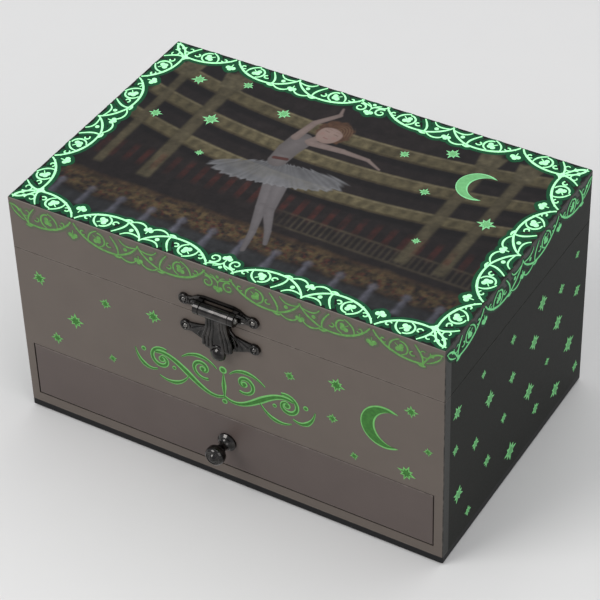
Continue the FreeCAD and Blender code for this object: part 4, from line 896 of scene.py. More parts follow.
@dataclass
class GlowPrints:
    """All phosphorescent ink on the box.

    A star is its place along and up its face and its size. The ends and the back share one field of stars. The back
    repeats the part of it within field_width at field_pitch, and leaves out the levels of the winding key and one star
    that a hinge would partly cover. A pair of reliefs is that of the bright lines and that of the painted glow halo
    under them. The lid's top, the ends and back, and the front each take their own copy of the inks, brightest on the
    top and dimmest on the front: painted light and shade.
    """

    finishes: Finishes
    border: GlowBorder = field(default_factory=GlowBorder)
    border_drop: float = 0.7
    bold: float = 0.12
    halo: float = 3.4
    side_halo: float = 3.4 * 0.6
    top_reliefs: Pair = (0.2, 0.09)
    side_reliefs: Pair = (0.14, 0.05)
    edge_relief: float = 0.12
    star_relief: float = 0.16
    fill_relief: float = 0.17
    star_share: float = 0.7
    fill_share: float = 0.66
    flourish_level: float = 47.6
    front_stars: tuple = (
        (-84, 67.4, 7), (-52.9, 66.7, 5.5), (-30.6, 69.2, 7), (-68.4, 51.7, 8), (-78.5, 38.9, 6), (-51.9, 39.2, 4),
        (29.8, 64.6, 5), (50, 68.6, 7.5), (47.9, 51.1, 5), (81.3, 69, 6), (88.4, 52.1, 4), (57.1, 36.1, 4),
        (79.4, 37.4, 8),
    )
    end_stars: tuple = (
        (10, 66.7, 7), (30.9, 69, 4), (55.6, 67.4, 5), (80.6, 67.1, 8), (97.9, 61.7, 5.5), (111.6, 69.2, 4),
        (9, 48.6, 5), (36.6, 52.4, 8), (55.9, 48.2, 6), (74.6, 51.7, 8), (95.9, 45.9, 8), (113, 49.9, 6),
        (25.4, 38.6, 6), (49.4, 32.4, 5), (71.6, 28.6, 9), (87.5, 32, 4), (107.8, 25.9, 9), (11.9, 23.6, 8),
        (35.9, 21.1, 6), (20.4, 7.7, 5), (56.5, 9.2, 10), (78.4, 14.2, 6), (96.9, 9.9, 8.5), (115.6, 8, 5.5),
    )
    lid_stars: tuple = (
        (-71.9, 102, 7), (-52, 107.7, 5.5), (-29.1, 97.3, 7), (-52.9, 80.4, 8), (-74.8, 73.8, 6), (-45, 59.2, 4),
        (26.3, 96.3, 5), (42.8, 105.4, 7), (44.6, 78.5, 5), (74.4, 71.7, 8), (56, 50.4, 4),
    )
    behind_hinge: tuple = (55.6, 67.4, 5)
    key_band: Pair = (30.0, 58.0)
    field_width: float = 84.0
    field_pitch: float = 88.0

    def build(self) -> None:
        """Lays every print."""
        low, high = edges_of("lid_top")
        self.top, self.wide, self.deep = high[2], high[0] - low[0], high[1] - low[1]
        self.corners = ((low[0], low[1]), (high[0], low[1]), (high[0], high[1]), (low[0], high[1]))
        foot = edges_of("case_front")[0][2]
        self.faces = {
            side: Panel((*corner, foot), along, (0, 0, 1)) for side, corner, along in zip(SIDES, self.corners, ROUND)
        }
        self.faces["lid"] = Panel((0, low[1], self.top), (1, 0, 0), (0, 1, 0))
        self._borders()
        self._stars()
        self._moons()
        self._flourish()

    def _borders(self) -> None:
        """The border on the lid's top, and the same hanging from its upper edge on all four sides."""
        high = self.top - self.border_drop
        for n, side in enumerate(SIDES):
            marks, length = self.border.edge(n % 2 == 0), self.deep if n % 2 else self.wide
            panel = Panel((*self.corners[n], self.top), ROUND[n], ROUND[(n + 1) % 4], length)
            bold = [mark.fattened(self.bold) for mark in marks]
            halo = [mark.fattened(self.halo) for mark in marks]
            self._edging(f"top_{n + 1}", panel, (bold, halo), self.top_reliefs, "border", "lid_print")
            panel = Panel((*self.corners[(n + 1) % 4], high), ROUND[(n + 2) % 4], (0, 0, -1), length)
            # The front takes the dimmest copy of the ink and the other sides a brighter one: painted shade by face.
            kind = "front" if side == "front" else "side"
            halo = [mark.fattened(self.side_halo) for mark in marks]
            self._edging(side, panel, (marks, halo), self.side_reliefs, f"{kind}_border", f"{kind}_print")

    def _edging(
        self, place: str, panel: Panel, layers: tuple[Marks, Marks], reliefs: Pair, look: str, slot: str
    ) -> None:
        """One edge of the border: bright lines, and the painted glow halo that spreads under and round them."""
        for part, end, marks, relief in zip(("border", "halo"), ("glow", "halo"), layers, reliefs):
            drawing = Drawing(panel, relief).lay(marks)
            drawing.make(f"glow_{part}_{place}", Body.LID, self.finishes.inks[f"{look}_{end}"], slot)

    def _stars(self) -> None:
        """A field of stars on each face: each a light star with a smaller, darker one on it, the lighter rim and darker
        middle being painted shading of the raised ink.
        """
        ends = ("side_star_edge_glow", "side_star_glow", Body.CASE, "side_print")
        low, high = self.key_band
        rows = [row for row in self.end_stars if row[0] < self.field_width and not low < row[1] < high]
        again = [(s + self.field_pitch, t, size) for s, t, size in rows if (s, t, size) != self.behind_hinge]
        for side, stars, offset, (edge_look, fill_look, body, slot) in (
            ("front", self.front_stars, self.wide / 2, ("star_edge_glow", "star_fill_glow", Body.CASE, "front_print")),
            ("right", self.end_stars, 0, ends),
            ("left", self.end_stars, 0, ends),
            ("back", rows + again, 4, ends),
            ("lid", self.lid_stars, 0, ("top_star_edge_glow", "top_star_glow", Body.LID, "lid_print")),
        ):
            panel = self.faces[side]
            edge, fill = Drawing(panel, self.edge_relief), Drawing(panel, self.star_relief)
            for n, (s, t, size) in enumerate(stars):
                turn = (n * 37) % 45 - 22
                edge.lay([star((s + offset, t), size, turn)])
                fill.lay([star((s + offset, t), size * self.star_share, turn)])
            edge.make(f"stars_{side}_edges", body, self.finishes.inks[edge_look], slot)
            fill.make(f"stars_{side}_fills", body, self.finishes.inks[fill_look], slot)

    def _moons(self) -> None:
        """The crescents of the front and the lid, each a light one with a slightly smaller, darker one on it: painted
        shading of the raised ink.
        """
        for side, centre, radius, edge_look, fill_look, body, slot in (
            ("front", (70.2 + self.wide / 2, 56.2), 10.2, "star_edge_glow", "star_fill_glow", Body.CASE, "front_print"),
            ("lid", (61.0, 91.0), 8.6, "top_star_edge_glow", "top_star_glow", Body.LID, "lid_print"),
        ):
            shift, bite = radius * 0.42, radius * 0.84
            large = crescent(centre, radius, shift, bite)
            small = crescent((centre[0] - 0.25, centre[1]), radius * 0.93, shift * 0.86, bite * 0.985)
            for part, moon, relief, look in (
                ("edge", large, self.edge_relief, edge_look), ("fill", small, self.fill_relief, fill_look),
            ):
                drawing = Drawing(self.faces[side], relief).lay_moon(moon)
                drawing.make(f"moon_{side}_{part}", body, self.finishes.inks[look], slot)

    def _flourish(self) -> None:
        """Symmetric scroll ornament in the middle of the front: light lines under narrower, darker ones, as painted
        shading of the raised ink.
        """
        for part, share, relief, look in (
            ("edge", 1.0, self.edge_relief, "star_edge_glow"),
            ("fill", self.fill_share, self.fill_relief, "star_fill_glow"),
        ):
            marks = self._scrolls(self.wide / 2, self.flourish_level, share)
            drawing = Drawing(self.faces["front"], relief).lay(marks)
            drawing.make(f"flourish_{part}", Body.CASE, self.finishes.inks[look], "front_print")

    @staticmethod
    def _scrolls(middle: float, level: float, share: float) -> Marks:
        """The ornament's marks about a middle place and level, at a share of their full width."""

        def at(x: float, z: float) -> Pair:
            """Point by its place left of the middle and above the middle height."""
            return middle - x, level + z

        half: Marks = [
            Stroke(bend(at(0.0, -6.0), at(9.0, -12.5), at(17.0, 2.0), at(24.5, 6.5), at(31.0, 4.0), count=40),
                   (1.2, 3.4, 1.6)),
            Stroke(curl(at(28.2, 1.2), 5.6, 1.2, 65, 400), (1.6, 2.3, 1.0)),
            Stroke(bend(at(30.5, -4.6), at(35.0, -7.5), at(39.5, -3.6), at(40.4, 2.6), count=26), (0.8, 2.4, 0.5)),
            Stroke(curl(at(9.4, 4.0), 5.0, 1.0, 300, -400), (1.4, 2.2, 0.9)),
            Stroke(bend(at(3.0, 6.6), at(6.8, 11.4), at(14.0, 11.2), at(18.6, 6.4), count=26), (0.6, 2.2, 0.6)),
            Stroke(bend(at(16.0, -2.4), at(19.5, -9.0), at(25.0, -10.2), at(29.8, -7.6), count=26), (0.6, 2.2, 0.6)),
            *(disc(at(x, z), radius * share) for x, z, radius in (
                (28.2, 1.2, 1.5), (9.4, 4.0, 1.4), (22.6, -1.0, 0.9), (36.4, 3.4, 1.1),
            )),
        ]
        heart = [disc(at(0, 7.4), 1.7 * share), disc(at(0, -8.6), 1.2 * share),
                 Stroke(bend(at(0, -7.0), at(0, 5.6), count=12), (0.5, 2.4, 0.5))]
        marks = half + [m.mirrored(middle) for m in half] + heart
        return [m.narrowed(share) if isinstance(m, Stroke) else m for m in marks]


# ---------------------------------------------------------------- lid picture
class Canvas:
    """Points of a picture in millimetres, with the colour laid on each so far."""

    def __init__(self, x: np.ndarray, y: np.ndarray, ground: tuple[float, ...]) -> None:
        """Starts the picture with one ground colour.

        Args:
            x: each point's place from the middle.
            y: each point's distance from the front edge.
            ground: the first colour.
        """
        self.x, self.y = x, y
        self.colour = np.tile(np.array(ground[:3]), (len(x), 1))

    def lay(self, mask: np.ndarray, colour: tuple[float, ...], shade: np.ndarray | float = 1.0) -> None:
        """Covers the picture with a colour times a shade where the mask is 1."""
        share = np.clip(mask, 0, 1)[:, None]
        tone = np.array(colour[:3]) * np.broadcast_to(np.asarray(shade, float), self.x.shape)[:, None]
        self.colour = self.colour * (1 - share) + tone * share

    def speckle(self, scale: float, seed: float = 0.0) -> np.ndarray:
        """Cloud between 0 and 1: three layers of value noise, each of half the spacing and half the weight."""
        total = np.zeros(len(self.x))
        for layer in range(3):
            pitch = scale / 2**layer
            u, v = self.x / pitch + 37.0 * seed, self.y / pitch + 17.0 * layer
            i, j = np.floor(u), np.floor(v)
            fu, fv = ((w * w * (3 - 2 * w)) for w in (u - i, v - j))
            near = self._hash(i, j) * (1 - fu) + self._hash(i + 1, j) * fu
            far = self._hash(i, j + 1) * (1 - fu) + self._hash(i + 1, j + 1) * fu
            total += (near * (1 - fv) + far * fv) / 2**layer
        return total / 1.75

    @staticmethod
    def _hash(i: np.ndarray, j: np.ndarray) -> np.ndarray:
        """Fixed value between 0 and 1 at each whole point: the fraction of a large sine."""
        wave = np.sin(i * 127.1 + j * 311.7) * 4375.85
        return wave - np.floor(wave)

    def turned(self, centre: Pair, degrees: float) -> tuple[np.ndarray, np.ndarray]:
        """The points' places on axes about a centre, turned by an angle."""
        x, y, turn = self.x - centre[0], self.y - centre[1], math.radians(degrees)
        return x * math.cos(turn) + y * math.sin(turn), -x * math.sin(turn) + y * math.cos(turn)

    def limb(self, start: Pair, end: Pair, wide: float, thin: float) -> np.ndarray:
        """Signed distance, negative inside, from a bar whose half width runs from wide to thin."""
        a, run = np.array(start), np.subtract(end, start)
        offset = np.stack([self.x, self.y], axis=1) - a
        share = np.clip(offset @ run / (run @ run), 0, 1)
        away = np.linalg.norm(offset - share[:, None] * run, axis=1)
        return away - (wide + (thin - wide) * share)


def soft(distance: np.ndarray, feather: float = 0.5) -> np.ndarray:
    """Mask from a signed distance: 1 inside, 0 outside, with a soft rim."""
    return np.clip(0.5 - distance / feather, 0, 1)


def band(distance: np.ndarray, half: float, feather: float) -> np.ndarray:
    """Mask of a strip: 1 within a half width of its middle line, with soft rims."""
    return soft(np.abs(distance) - half, feather)


@dataclass
class LidPicture:
    """Painted picture under the lid's film: a dancer on the stage of a dim, golden theatre.

    Galleries are levels and widths, and columns places and half widths. A limb is a row of bars: start, end, and the
    half widths there.
    """

    finishes: Finishes
    step: float = 0.5
    fine_step: float = 0.26
    lift: float = 0.04
    bed: float = 0.35
    galleries: tuple = ((94.6, 7.4), (77.2, 7.2), (59.6, 6.8))
    columns: tuple = ((-57.0, 3.2), (-78.0, 2.2), (57.0, 2.8), (73.0, 2.6))
    lamp_pitch: float = 13.75
    dancer_patch: tuple[float, float, float, float] = (-40.0, 25.5, 11.0, 113.0)
    legs: tuple = (
        ((-10.5, 57), (-5.6, 41), 3.3, 2.3), ((-5.6, 41), (-0.6, 26), 2.3, 1.4), ((-0.6, 26), (1.8, 15), 1.5, 1.0),
        ((-6.5, 57), (-1.8, 40), 3.2, 2.2), ((-1.8, 40), (4.4, 29), 2.2, 1.3), ((4.4, 29), (7.4, 22), 1.4, 0.9),
    )
    bodice: tuple = (((-15.4, 69.5), (-15.2, 78), 4.0, 4.6), ((-15.2, 78), (-14.0, 85), 4.6, 5.0))
    sash: tuple = (((-17.6, 70.5), (-12.6, 71.6), 0.9, 0.9),)
    neck_and_arms: tuple = (
        ((-10.6, 86), (-8.2, 90.5), 1.9, 1.6),
        ((-17.0, 86), (-15.0, 98), 1.9, 1.5), ((-15.0, 98), (-8.6, 107), 1.5, 1.1),
        ((-8.6, 107), (-9.6, 111.5), 0.9, 0.5),
        ((-9.6, 85.4), (4.0, 86.4), 1.9, 1.5), ((4.0, 86.4), (15.6, 86.0), 1.4, 1.0),
        ((15.6, 86.0), (22.4, 82.6), 0.9, 0.5),
    )

    def build(self) -> None:
        """Makes the whole picture, and a finer patch with the dancer on it."""
        low, high = edges_of("lid_top")
        rim = self.bed
        whole = (low[0] + rim, high[0] - rim, low[1] + rim, high[1] - rim)
        self._patch("lid_picture", whole, self.step, high[2] + self.lift, low[1])
        x0, x1, y0, y1 = self.dancer_patch
        window = (x0, x1, low[1] + y0, low[1] + y1)
        self._patch("lid_picture_dancer", window, self.fine_step, high[2] + self.lift + 0.02, low[1])

    def _patch(self, name: str, extent: tuple[float, ...], step: float, level: float, front: float) -> None:
        """A flat grid of painted points at a level, whose picture starts at the front."""
        x0, x1, y0, y1 = extent
        columns, rows = int((x1 - x0) / step) + 1, int((y1 - y0) / step) + 1
        x, y = np.meshgrid(np.linspace(x0, x1, columns), np.linspace(y0, y1, rows))
        verts = np.stack([x.ravel(), y.ravel(), np.full(x.size, level)], axis=1)
        faces = loft_faces(rows, columns, closed=False)
        piece = make_piece(name, verts, faces, Body.LID, self.finishes.picture)
        paint_points(piece, "picture", self.paint(x.ravel(), y.ravel() - front))

    def paint(self, x: np.ndarray, y: np.ndarray) -> np.ndarray:
        """Colour of every point of the picture.

        Args:
            x: places from the middle, in millimetres.
            y: distances from the front edge.

        Returns:
            Linear colours.
        """
        canvas = Canvas(x, y, ink(36, 31, 30))
        canvas.lay(0.8 * canvas.speckle(11.0), ink(47, 39, 37))
        canvas.lay(0.6 * canvas.speckle(4.0, 2.0), ink(28, 24, 26))
        self._hall(canvas)
        self._stage(canvas)
        canvas.colour *= (0.6 + 0.72 * canvas.speckle(2.6, 7.0))[:, None]
        canvas.colour *= (0.8 + 0.4 * canvas.speckle(0.9, 9.0))[:, None]
        self._dancer(canvas)
        half_width, depth = (CAD_BOARDS[1] - CAD_BOARDS[0])[:2] / (2, 1)
        from_edge = np.minimum(half_width - np.abs(x), np.minimum(y, depth - y))
        canvas.lay(soft(from_edge - 8.6, 2.4) * 0.82, ink(14, 26, 21))
        spot = np.exp(-(((x + 8) / 52) ** 2 + ((y - 62) / 58) ** 2))
        canvas.colour *= (0.46 + 0.26 * spot)[:, None]
        return canvas.colour

    def _hall(self, canvas: Canvas) -> None:
        """Galleries that sag towards the middle as a parabola of x, columns in front of them, and a row of seats."""
        x, y = canvas.x, canvas.y
        for n, (level, width) in enumerate(self.galleries):
            offset = y - level - 0.0016 * x**2
            panels = 0.16 * np.cos(x * 2 * np.pi / 5.2 + n) * (np.abs(offset) < width * 0.3)
            canvas.lay(band(offset + width * 0.75, width * 0.3, 2.0) * 0.7, ink(16, 14, 16))
            canvas.lay(band(offset, width / 2, 1.1), ink(104, 95, 70), 0.62 + 0.5 * canvas.speckle(2.2, n) + panels)
            canvas.lay(band(offset - width * 0.44, 0.4, 0.9) * 0.8, ink(130, 120, 94))
            canvas.lay(band(offset + width * 0.44, 0.4, 0.9) * 0.8, ink(60, 49, 34))
        for place, half in self.columns:
            lean = x - place - 0.018 * np.sign(place) * (y - 60)
            body = band(lean, half, 1.2) * soft(36 - y, 2.0)
            canvas.lay(body * 0.85, ink(94, 86, 66), 0.5 + 0.6 * np.clip(1 - (lean / half) ** 2, 0, 1) ** 0.5)
            flare = half * (1.3 + 0.06 * np.clip(y - 100, 0, 12))
            capital = band(lean, flare, 1.0) * band(y - 107, 5.0, 1.4)
            canvas.lay(capital, ink(106, 98, 76), 0.7 + 0.5 * canvas.speckle(1.6))
        seats = np.clip(np.sin(x * 2 * np.pi / 6.4) * 2, 0, 1) * band(y - 47, 5.0, 4.0)
        canvas.lay(seats * 0.5 * canvas.speckle(3.0, 4.0), ink(104, 44, 34))
        for rail in (34.2, 42.4):
            canvas.lay(band(y - rail, 0.5, 0.9) * 0.5 * soft(6 - x, 14.0), ink(98, 88, 70))
        posts = band((x + 0.8) % 2.5 - 1.25, 0.42, 0.7) * band(y - 38.3, 3.6, 0.9)
        canvas.lay(posts * 0.45 * soft(6 - x, 14.0), ink(92, 84, 68))
        swing = y - 23.0 - 1.0 * np.cos(x * 2 * np.pi / 27.5)
        leaves = np.clip(canvas.speckle(1.7, 3.0) * 2.0 - 0.5, 0, 1)
        flowers = np.clip(canvas.speckle(1.1, 5.0) * 3 - 1.7, 0, 1)
        canvas.lay(band(swing, 5.2, 4.0) * leaves, ink(98, 82, 56))
        canvas.lay(band(swing + 1, 4.4, 3.0) * flowers, ink(92, 46, 38))
        canvas.lay(band(y - 28.5, 1.0, 2.0) * 0.6 * canvas.speckle(2.0, 6.0), ink(98, 72, 50))

    def _stage(self, canvas: Canvas) -> None:
        """The stage's front strip and a row of footlights."""
        x, y = canvas.x, canvas.y
        canvas.lay(band(y - 11.5, 4.2, 2.4) * 0.75, ink(56, 58, 60), 0.7 + 0.6 * canvas.speckle(3.0))
        place = (x + self.lamp_pitch / 2) % self.lamp_pitch - self.lamp_pitch / 2
        bulb = np.hypot(place, (y - 19.2) * 0.9) - 1.9
        stem = np.maximum(np.abs(place) - 1.0 - 0.1 * np.clip(18 - y, 0, 9), np.abs(y - 14.0) - 5.0)
        glint = 0.7 + 0.4 * np.exp(-((place + 0.5) ** 2))
        canvas.lay(soft(np.minimum(bulb, stem), 1.4) * 0.62, ink(112, 112, 124), glint)

    def _dancer(self, canvas: Canvas) -> None:
        """The dancer, back to front."""
        self._limbs(canvas, ink(112, 107, 108), self.legs)
        self._skirt(canvas)
        self._limbs(canvas, ink(108, 102, 101), self.bodice)
        self._limbs(canvas, ink(84, 50, 46), self.sash)
        self._limbs(canvas, ink(134, 118, 112), self.neck_and_arms)
        self._head(canvas)

    def _limbs(self, canvas: Canvas, colour: tuple[float, ...], bars: tuple) -> None:
        """Rounded bars of one colour, each lighter at its middle and darker at its rim."""
        for start, end, wide, thin in bars:
            away = canvas.limb(start, end, wide, thin)
            shade = (0.84 + 0.2 * np.clip(-away / wide, 0, 1)) * (0.9 + 0.2 * canvas.speckle(2.0, 8.0))
            canvas.lay(soft(away), colour, shade)

    def _skirt(self, canvas: Canvas) -> None:
        """Tilted plate of net: an ellipse with a ragged rim and pleats that fan out from the waist."""
        u, v = canvas.turned((-11.0, 61.6), 10.5)
        fan = np.arctan2(canvas.y - 76.0, canvas.x + 14.5)
        ragged = 0.05 * np.sin(fan * 46) + 0.03 * np.sin(fan * 81 + 1)
        reach = np.hypot(u / 27.2, (v + 0.35 * np.exp(-((u + 20) ** 2) / 90) * 3) / 7.2) - 1 - ragged
        pleats = 0.9 + 0.1 * np.sin(fan * 47 + 2 * np.sin(fan * 13)) * np.clip(reach + 1, 0, 1)
        shade = pleats * (0.7 + 0.4 * np.clip(0.5 - v / 14, 0, 1)) * (0.8 + 0.4 * canvas.speckle(3.0))
        canvas.lay(soft(reach, 0.09) * (0.6 + 0.24 * pleats), ink(126, 126, 128), shade)
        canvas.lay(band(reach + 0.06, 0.03, 0.06) * 0.35, ink(140, 140, 143))

    def _head(self, canvas: Canvas) -> None:
        """Plain doll's head tilted a little, in loose curls: calm closed eyes, a short brow line and a small mouth."""
        u, v = canvas.turned((-5.6, 94.8), -10)
        curls = np.arctan2(v, u)
        edge = 0.05 * np.sin(9 * curls + 1) + 0.03 * np.sin(17 * curls)
        hair = soft(np.hypot((u - 0.4) / 7.3, (v - 1.4) / 7.6) - 1 - edge, 0.16)
        canvas.lay(hair, ink(90, 64, 48), 0.6 + 0.7 * canvas.speckle(1.1, 1.0))
        strands = np.clip(np.sin(np.hypot(u, v) * 5.5 + 3 * np.sin(4 * curls)), 0, 1)
        canvas.lay(strands * soft(np.hypot(u - 3.4, v - 4.2) - 3.6, 2.4) * 0.6, ink(126, 102, 78))
        face = soft(np.hypot(u / 5.1, (v + 1.2) / 6.1) - 1, 0.12) * soft(v - 3.4 + 0.09 * u**2, 0.8)
        canvas.lay(face, ink(152, 130, 121), 0.9 + 0.16 * np.clip(1 - np.hypot(u, v) / 7, 0, 1))
        for side in (-1, 1):
            across = u - side * 2.15
            lid = np.abs(v - 0.1 + 0.12 * across**2) - 0.16
            canvas.lay(soft(np.maximum(lid, np.abs(across) - 1.05), 0.3) * 0.7, ink(80, 60, 54))
            brow = np.abs(v - 1.9 + 0.08 * across**2) - 0.12
            canvas.lay(soft(np.maximum(brow, np.abs(across) - 1.2), 0.3) * 0.5, ink(112, 80, 62))
            canvas.lay(soft(np.hypot(u - side * 2.9, v + 2.2) - 1.0, 1.4) * 0.25, ink(160, 112, 106))
        canvas.lay(soft(np.maximum(np.abs(v + 4.0 - 0.1 * u**2) - 0.22, np.abs(u) - 1.15), 0.3) * 0.7, ink(126, 78, 76))
        canvas.lay(soft(np.hypot(u - 0.2, v + 1.9) - 0.3, 0.5) * 0.35, ink(126, 104, 96))


# ---------------------------------------------------------------- carried-over CAD nodes
@dataclass
class Dresser:
    """Gives every CAD node its finish."""

    finishes: Finishes

    def build(self) -> None:
        """Assigns the materials."""
        f = self.finishes
        looks = {
            f.front: ("case_front",), f.lid_front: ("lid_front", "lid_top"), f.drawer_front: ("drawer_front",),
            # The ends, back and lid sides get the paper in painted shade.
            f.side: ("case_left", "case_right", "case_back"), f.lid_side: ("lid_left", "lid_right", "lid_back"),
            f.base: ("base_panel",), f.felt: ("base_felt",),
            f.velvet: ("lining_front", "lining_back", "lining_sides", "floor_lining", "partition_long",
                       "partition_short", "stage_panel", "lid_lining", "drawer_lining"),
            f.timber: ("compartment_floor", "drawer_bottom", "drawer_back"),
            f.side_timber: ("drawer_runners", "drawer_sides"),
            f.nickel: ("latch_plate", "latch_keeper", "latch_hasp", "drawer_knob", "hinge_case_leaves",
                       "hinge_lid_leaves"),
            f.nail: ("latch_plate_nails", "latch_keeper_nails", "latch_pin"),
            f.steel: ("hinge_pins", "hinge_case_screws", "hinge_lid_screws", "knob_screw", "movement_screws", "comb",
                      "comb_screws", "winding_shaft", "governor", "stop_wire", "dancer_spindle"),
            f.plate: ("movement_frame", "movement_bridge", "comb_block"),
            f.brass: ("winding_key", "spring_barrel", "cylinder", "idler_wheel"),
            f.turntable: ("turntable",), f.mirror: ("mirror",),
        }
        for look, names in looks.items():
            for name in names:
                NODES[name].data.materials.clear()
                NODES[name].data.materials.append(look)
        left = set(NODES) - {name for names in looks.values() for name in names}
        LOG.info("nodes given to new pieces: %s", sorted(left))


# ---------------------------------------------------------------- soft goods and trims
def sweep(
    path: np.ndarray, radii: np.ndarray, around: int = 18, ridges: int = 0, twist: float = 0.0, depth: float = 0.0,
    ring: bool = False,
) -> Skin:
    """Round bar along a path: each ring of points stands square to the path, on axes taken from one fixed direction.

    Args:
        path: points of the middle line.
        radii: radius at each point.
        around: points in each ring.
        ridges: strands seen round the bar, for a twisted cord.
        twist: turns of the strands over the whole path.
        depth: depth of the grooves between strands, as a share of the radius.
        ring: whether the path closes on itself.

    Returns:
        Points and faces.
    """
    run = (np.roll(path, -1, 0) - np.roll(path, 1, 0)) if ring else np.gradient(path, axis=0)
    run /= np.linalg.norm(run, axis=1, keepdims=True)
    fixed = np.array([0.02, 0.05, 1.0]) if np.abs(run[:, 2]).max() < 0.9 else np.array([0.05, 1.0, 0.02])
    first = np.cross(fixed, run)
    first /= np.linalg.norm(first, axis=1, keepdims=True)
    second = np.cross(run, first)
    angle = np.linspace(0, 2 * np.pi, around, endpoint=False)
    share = np.linspace(0, 1, len(path), endpoint=not ring)[:, None]
    size = radii[:, None] * (1 - depth * (0.5 - 0.5 * np.cos(ridges * angle[None, :] - 2 * np.pi * twist * share)))
    across = np.cos(angle)[None, :, None] * first[:, None, :]
    upward = np.sin(angle)[None, :, None] * second[:, None, :]
    rings = path[:, None, :] + size[..., None] * (across + upward)
    if not ring:
        return closed_loft(rings)
    rings = np.concatenate([rings, rings[:1]])
    verts = rings[:-1].reshape(-1, 3)
    faces = loft_faces(len(rings), around)
    return verts, faces % len(verts)


@dataclass
class RingRolls:
    """Four velvet rolls side by side, each a stuffed tube with puckered, rounded ends.

    The cloth is worked at several times its size, because the solver's steps suit larger pieces.
    """

    finishes: Finishes
    count: int = 4
    folds: int = 13
    fold_depth: float = 0.035
    sunk: float = 0.6
    along: int = 90
    around: int = 56
    enlarged: float = 10.0
    voxel: float = 0.0062
    frames: int = 20
    pressure: float = 4.0
    slack: float = 0.05
    room: float = 0.45
    most_move: float = 0.6
    end_gap: float = 0.2
    side_gap: float = 0.12
    floor_gap: float = 0.05

    def build(self) -> None:
        """Makes each roll in the place of its stiff stand-in."""
        low, high = edges_of("ring_rolls")
        radius = (high[2] - low[2] + self.sunk) / 2
        pitch = (high[1] - low[1] - 2 * radius) / (self.count - 1)
        for n in range(self.count):
            middle = (low[1] + radius + n * pitch, low[2] - self.sunk + radius)
            ends = (low[0] + self.end_gap, high[0] - self.end_gap)
            self._roll(n, ends, middle, radius - self.side_gap, low[2])

    def _roll(self, number: int, ends: Pair, middle: Pair, radius: float, floor: float) -> None:
        """One roll: the radius falls off as a high power of the place along it, with folds that fade inwards."""
        share = np.sin(np.linspace(-np.pi / 2, np.pi / 2, self.along))[:, None]
        angle = np.linspace(0, 2 * np.pi, self.around, endpoint=False)[None, :]
        fall = np.clip(1 - np.abs(share) ** 16, 0.0025, 1) ** 0.42
        fold = self.fold_depth * np.abs(share) ** 9 * np.cos(self.folds * angle + number) * fall
        uneven = 0.012 * np.sin(9 * share + 3 * angle + number) + 0.008 * np.sin(21 * share - 2 * angle)
        size = ((radius - self.room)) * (fall + fold + uneven * fall)
        x = np.broadcast_to((ends[0] + ends[1]) / 2 + share * (ends[1] - ends[0]) / 2, size.shape)
        y, z = middle[0] + size * np.cos(angle), np.maximum(middle[1] + size * np.sin(angle), floor + self.floor_gap)
        verts, faces = closed_loft(np.stack([x, y, z], axis=-1))
        verts, faces = self._stuffed(verts, faces, ends, middle, radius + 0.1, floor)
        roll = make_piece(f"ring_roll_{number + 1}", verts, faces, Body.CASE, self.finishes.roll)
        finer = roll.modifiers.new("subdivision", "SUBSURF")
        finer.levels = finer.render_levels = 1
        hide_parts("ring_rolls")

    def _stuffed(
        self, verts: np.ndarray, faces: np.ndarray, ends: Pair, middle: Pair, limit: float, floor: float
    ) -> Skin:
        """Cloth swelled by the stuffing: an even skin, cut a little too large, under pressure, with its ends held.

        Args:
            verts: points of the tube, in millimetres.
            faces: its faces.
            ends: places of its two ends.
            middle: place of its middle line.
            limit: largest distance from the middle line, which keeps the rolls apart.
            floor: level of the tray it lies on.

        Returns:
            Points and faces of the stuffed tube, in millimetres.
        """
        shift = np.array([(ends[0] + ends[1]) / 2, *middle])
        size = MM * self.enlarged
        cloth = show("roll_cloth", fill_mesh("roll_cloth", (verts - shift) * size, faces))
        skin = cloth.modifiers.new("skin", "REMESH")
        skin.mode, skin.voxel_size = "VOXEL", self.voxel
        cloth.data = bpy.data.meshes.new_from_object(cloth.evaluated_get(bpy.context.evaluated_depsgraph_get()))
        cloth.modifiers.clear()
        before = self._points(cloth.data)
        reach = (ends[1] - ends[0]) / 2 * size
        held = cloth.vertex_groups.new(name="ends")
        held.add(np.flatnonzero(np.abs(before[:, 0]) > reach * 0.975).tolist(), 1.0, "REPLACE")
        settings = cloth.modifiers.new("cloth", "CLOTH").settings
        settings.use_pressure, settings.uniform_pressure_force = True, self.pressure
        settings.vertex_group_mass, settings.shrink_min = held.name, -self.slack
        settings.effector_weights.gravity = 0.0
        for frame in range(1, self.frames + 1):
            bpy.context.scene.frame_set(frame)
        after = self._points(cloth.evaluated_get(bpy.context.evaluated_depsgraph_get()).data)
        bpy.context.scene.frame_set(1)
        move = (after - before) / size
        length = np.linalg.norm(move, axis=1, keepdims=True)
        points = before / size + shift + move * np.minimum(1, self.most_move / np.maximum(length, TINY))
        offset = points[:, 1:] - middle
        away = np.linalg.norm(offset, axis=1, keepdims=True)
        points[:, 1:] = middle + offset * np.minimum(1, limit / np.maximum(away, TINY))
        points[:, 0] = np.clip(points[:, 0], *ends)
        points[:, 2] = np.maximum(points[:, 2], floor + self.floor_gap)
        corners = np.zeros(len(cloth.data.loops), dtype=np.int64)
        cloth.data.loops.foreach_get("vertex_index", corners)
        starts, sides = np.zeros((2, len(cloth.data.polygons)), dtype=np.int64)
        cloth.data.polygons.foreach_get("loop_start", starts)
        cloth.data.polygons.foreach_get("loop_total", sides)
        quads = corners[starts[:, None] + np.minimum(np.arange(4), sides[:, None] - 1)]
        bpy.data.objects.remove(cloth)
        return points, quads

    @staticmethod
    def _points(mesh: bpy.types.Mesh) -> np.ndarray:
        """Places of a mesh's points."""
        places = np.zeros(len(mesh.vertices) * 3)
        mesh.vertices.foreach_get("co", places)
        return places.reshape(-1, 3)


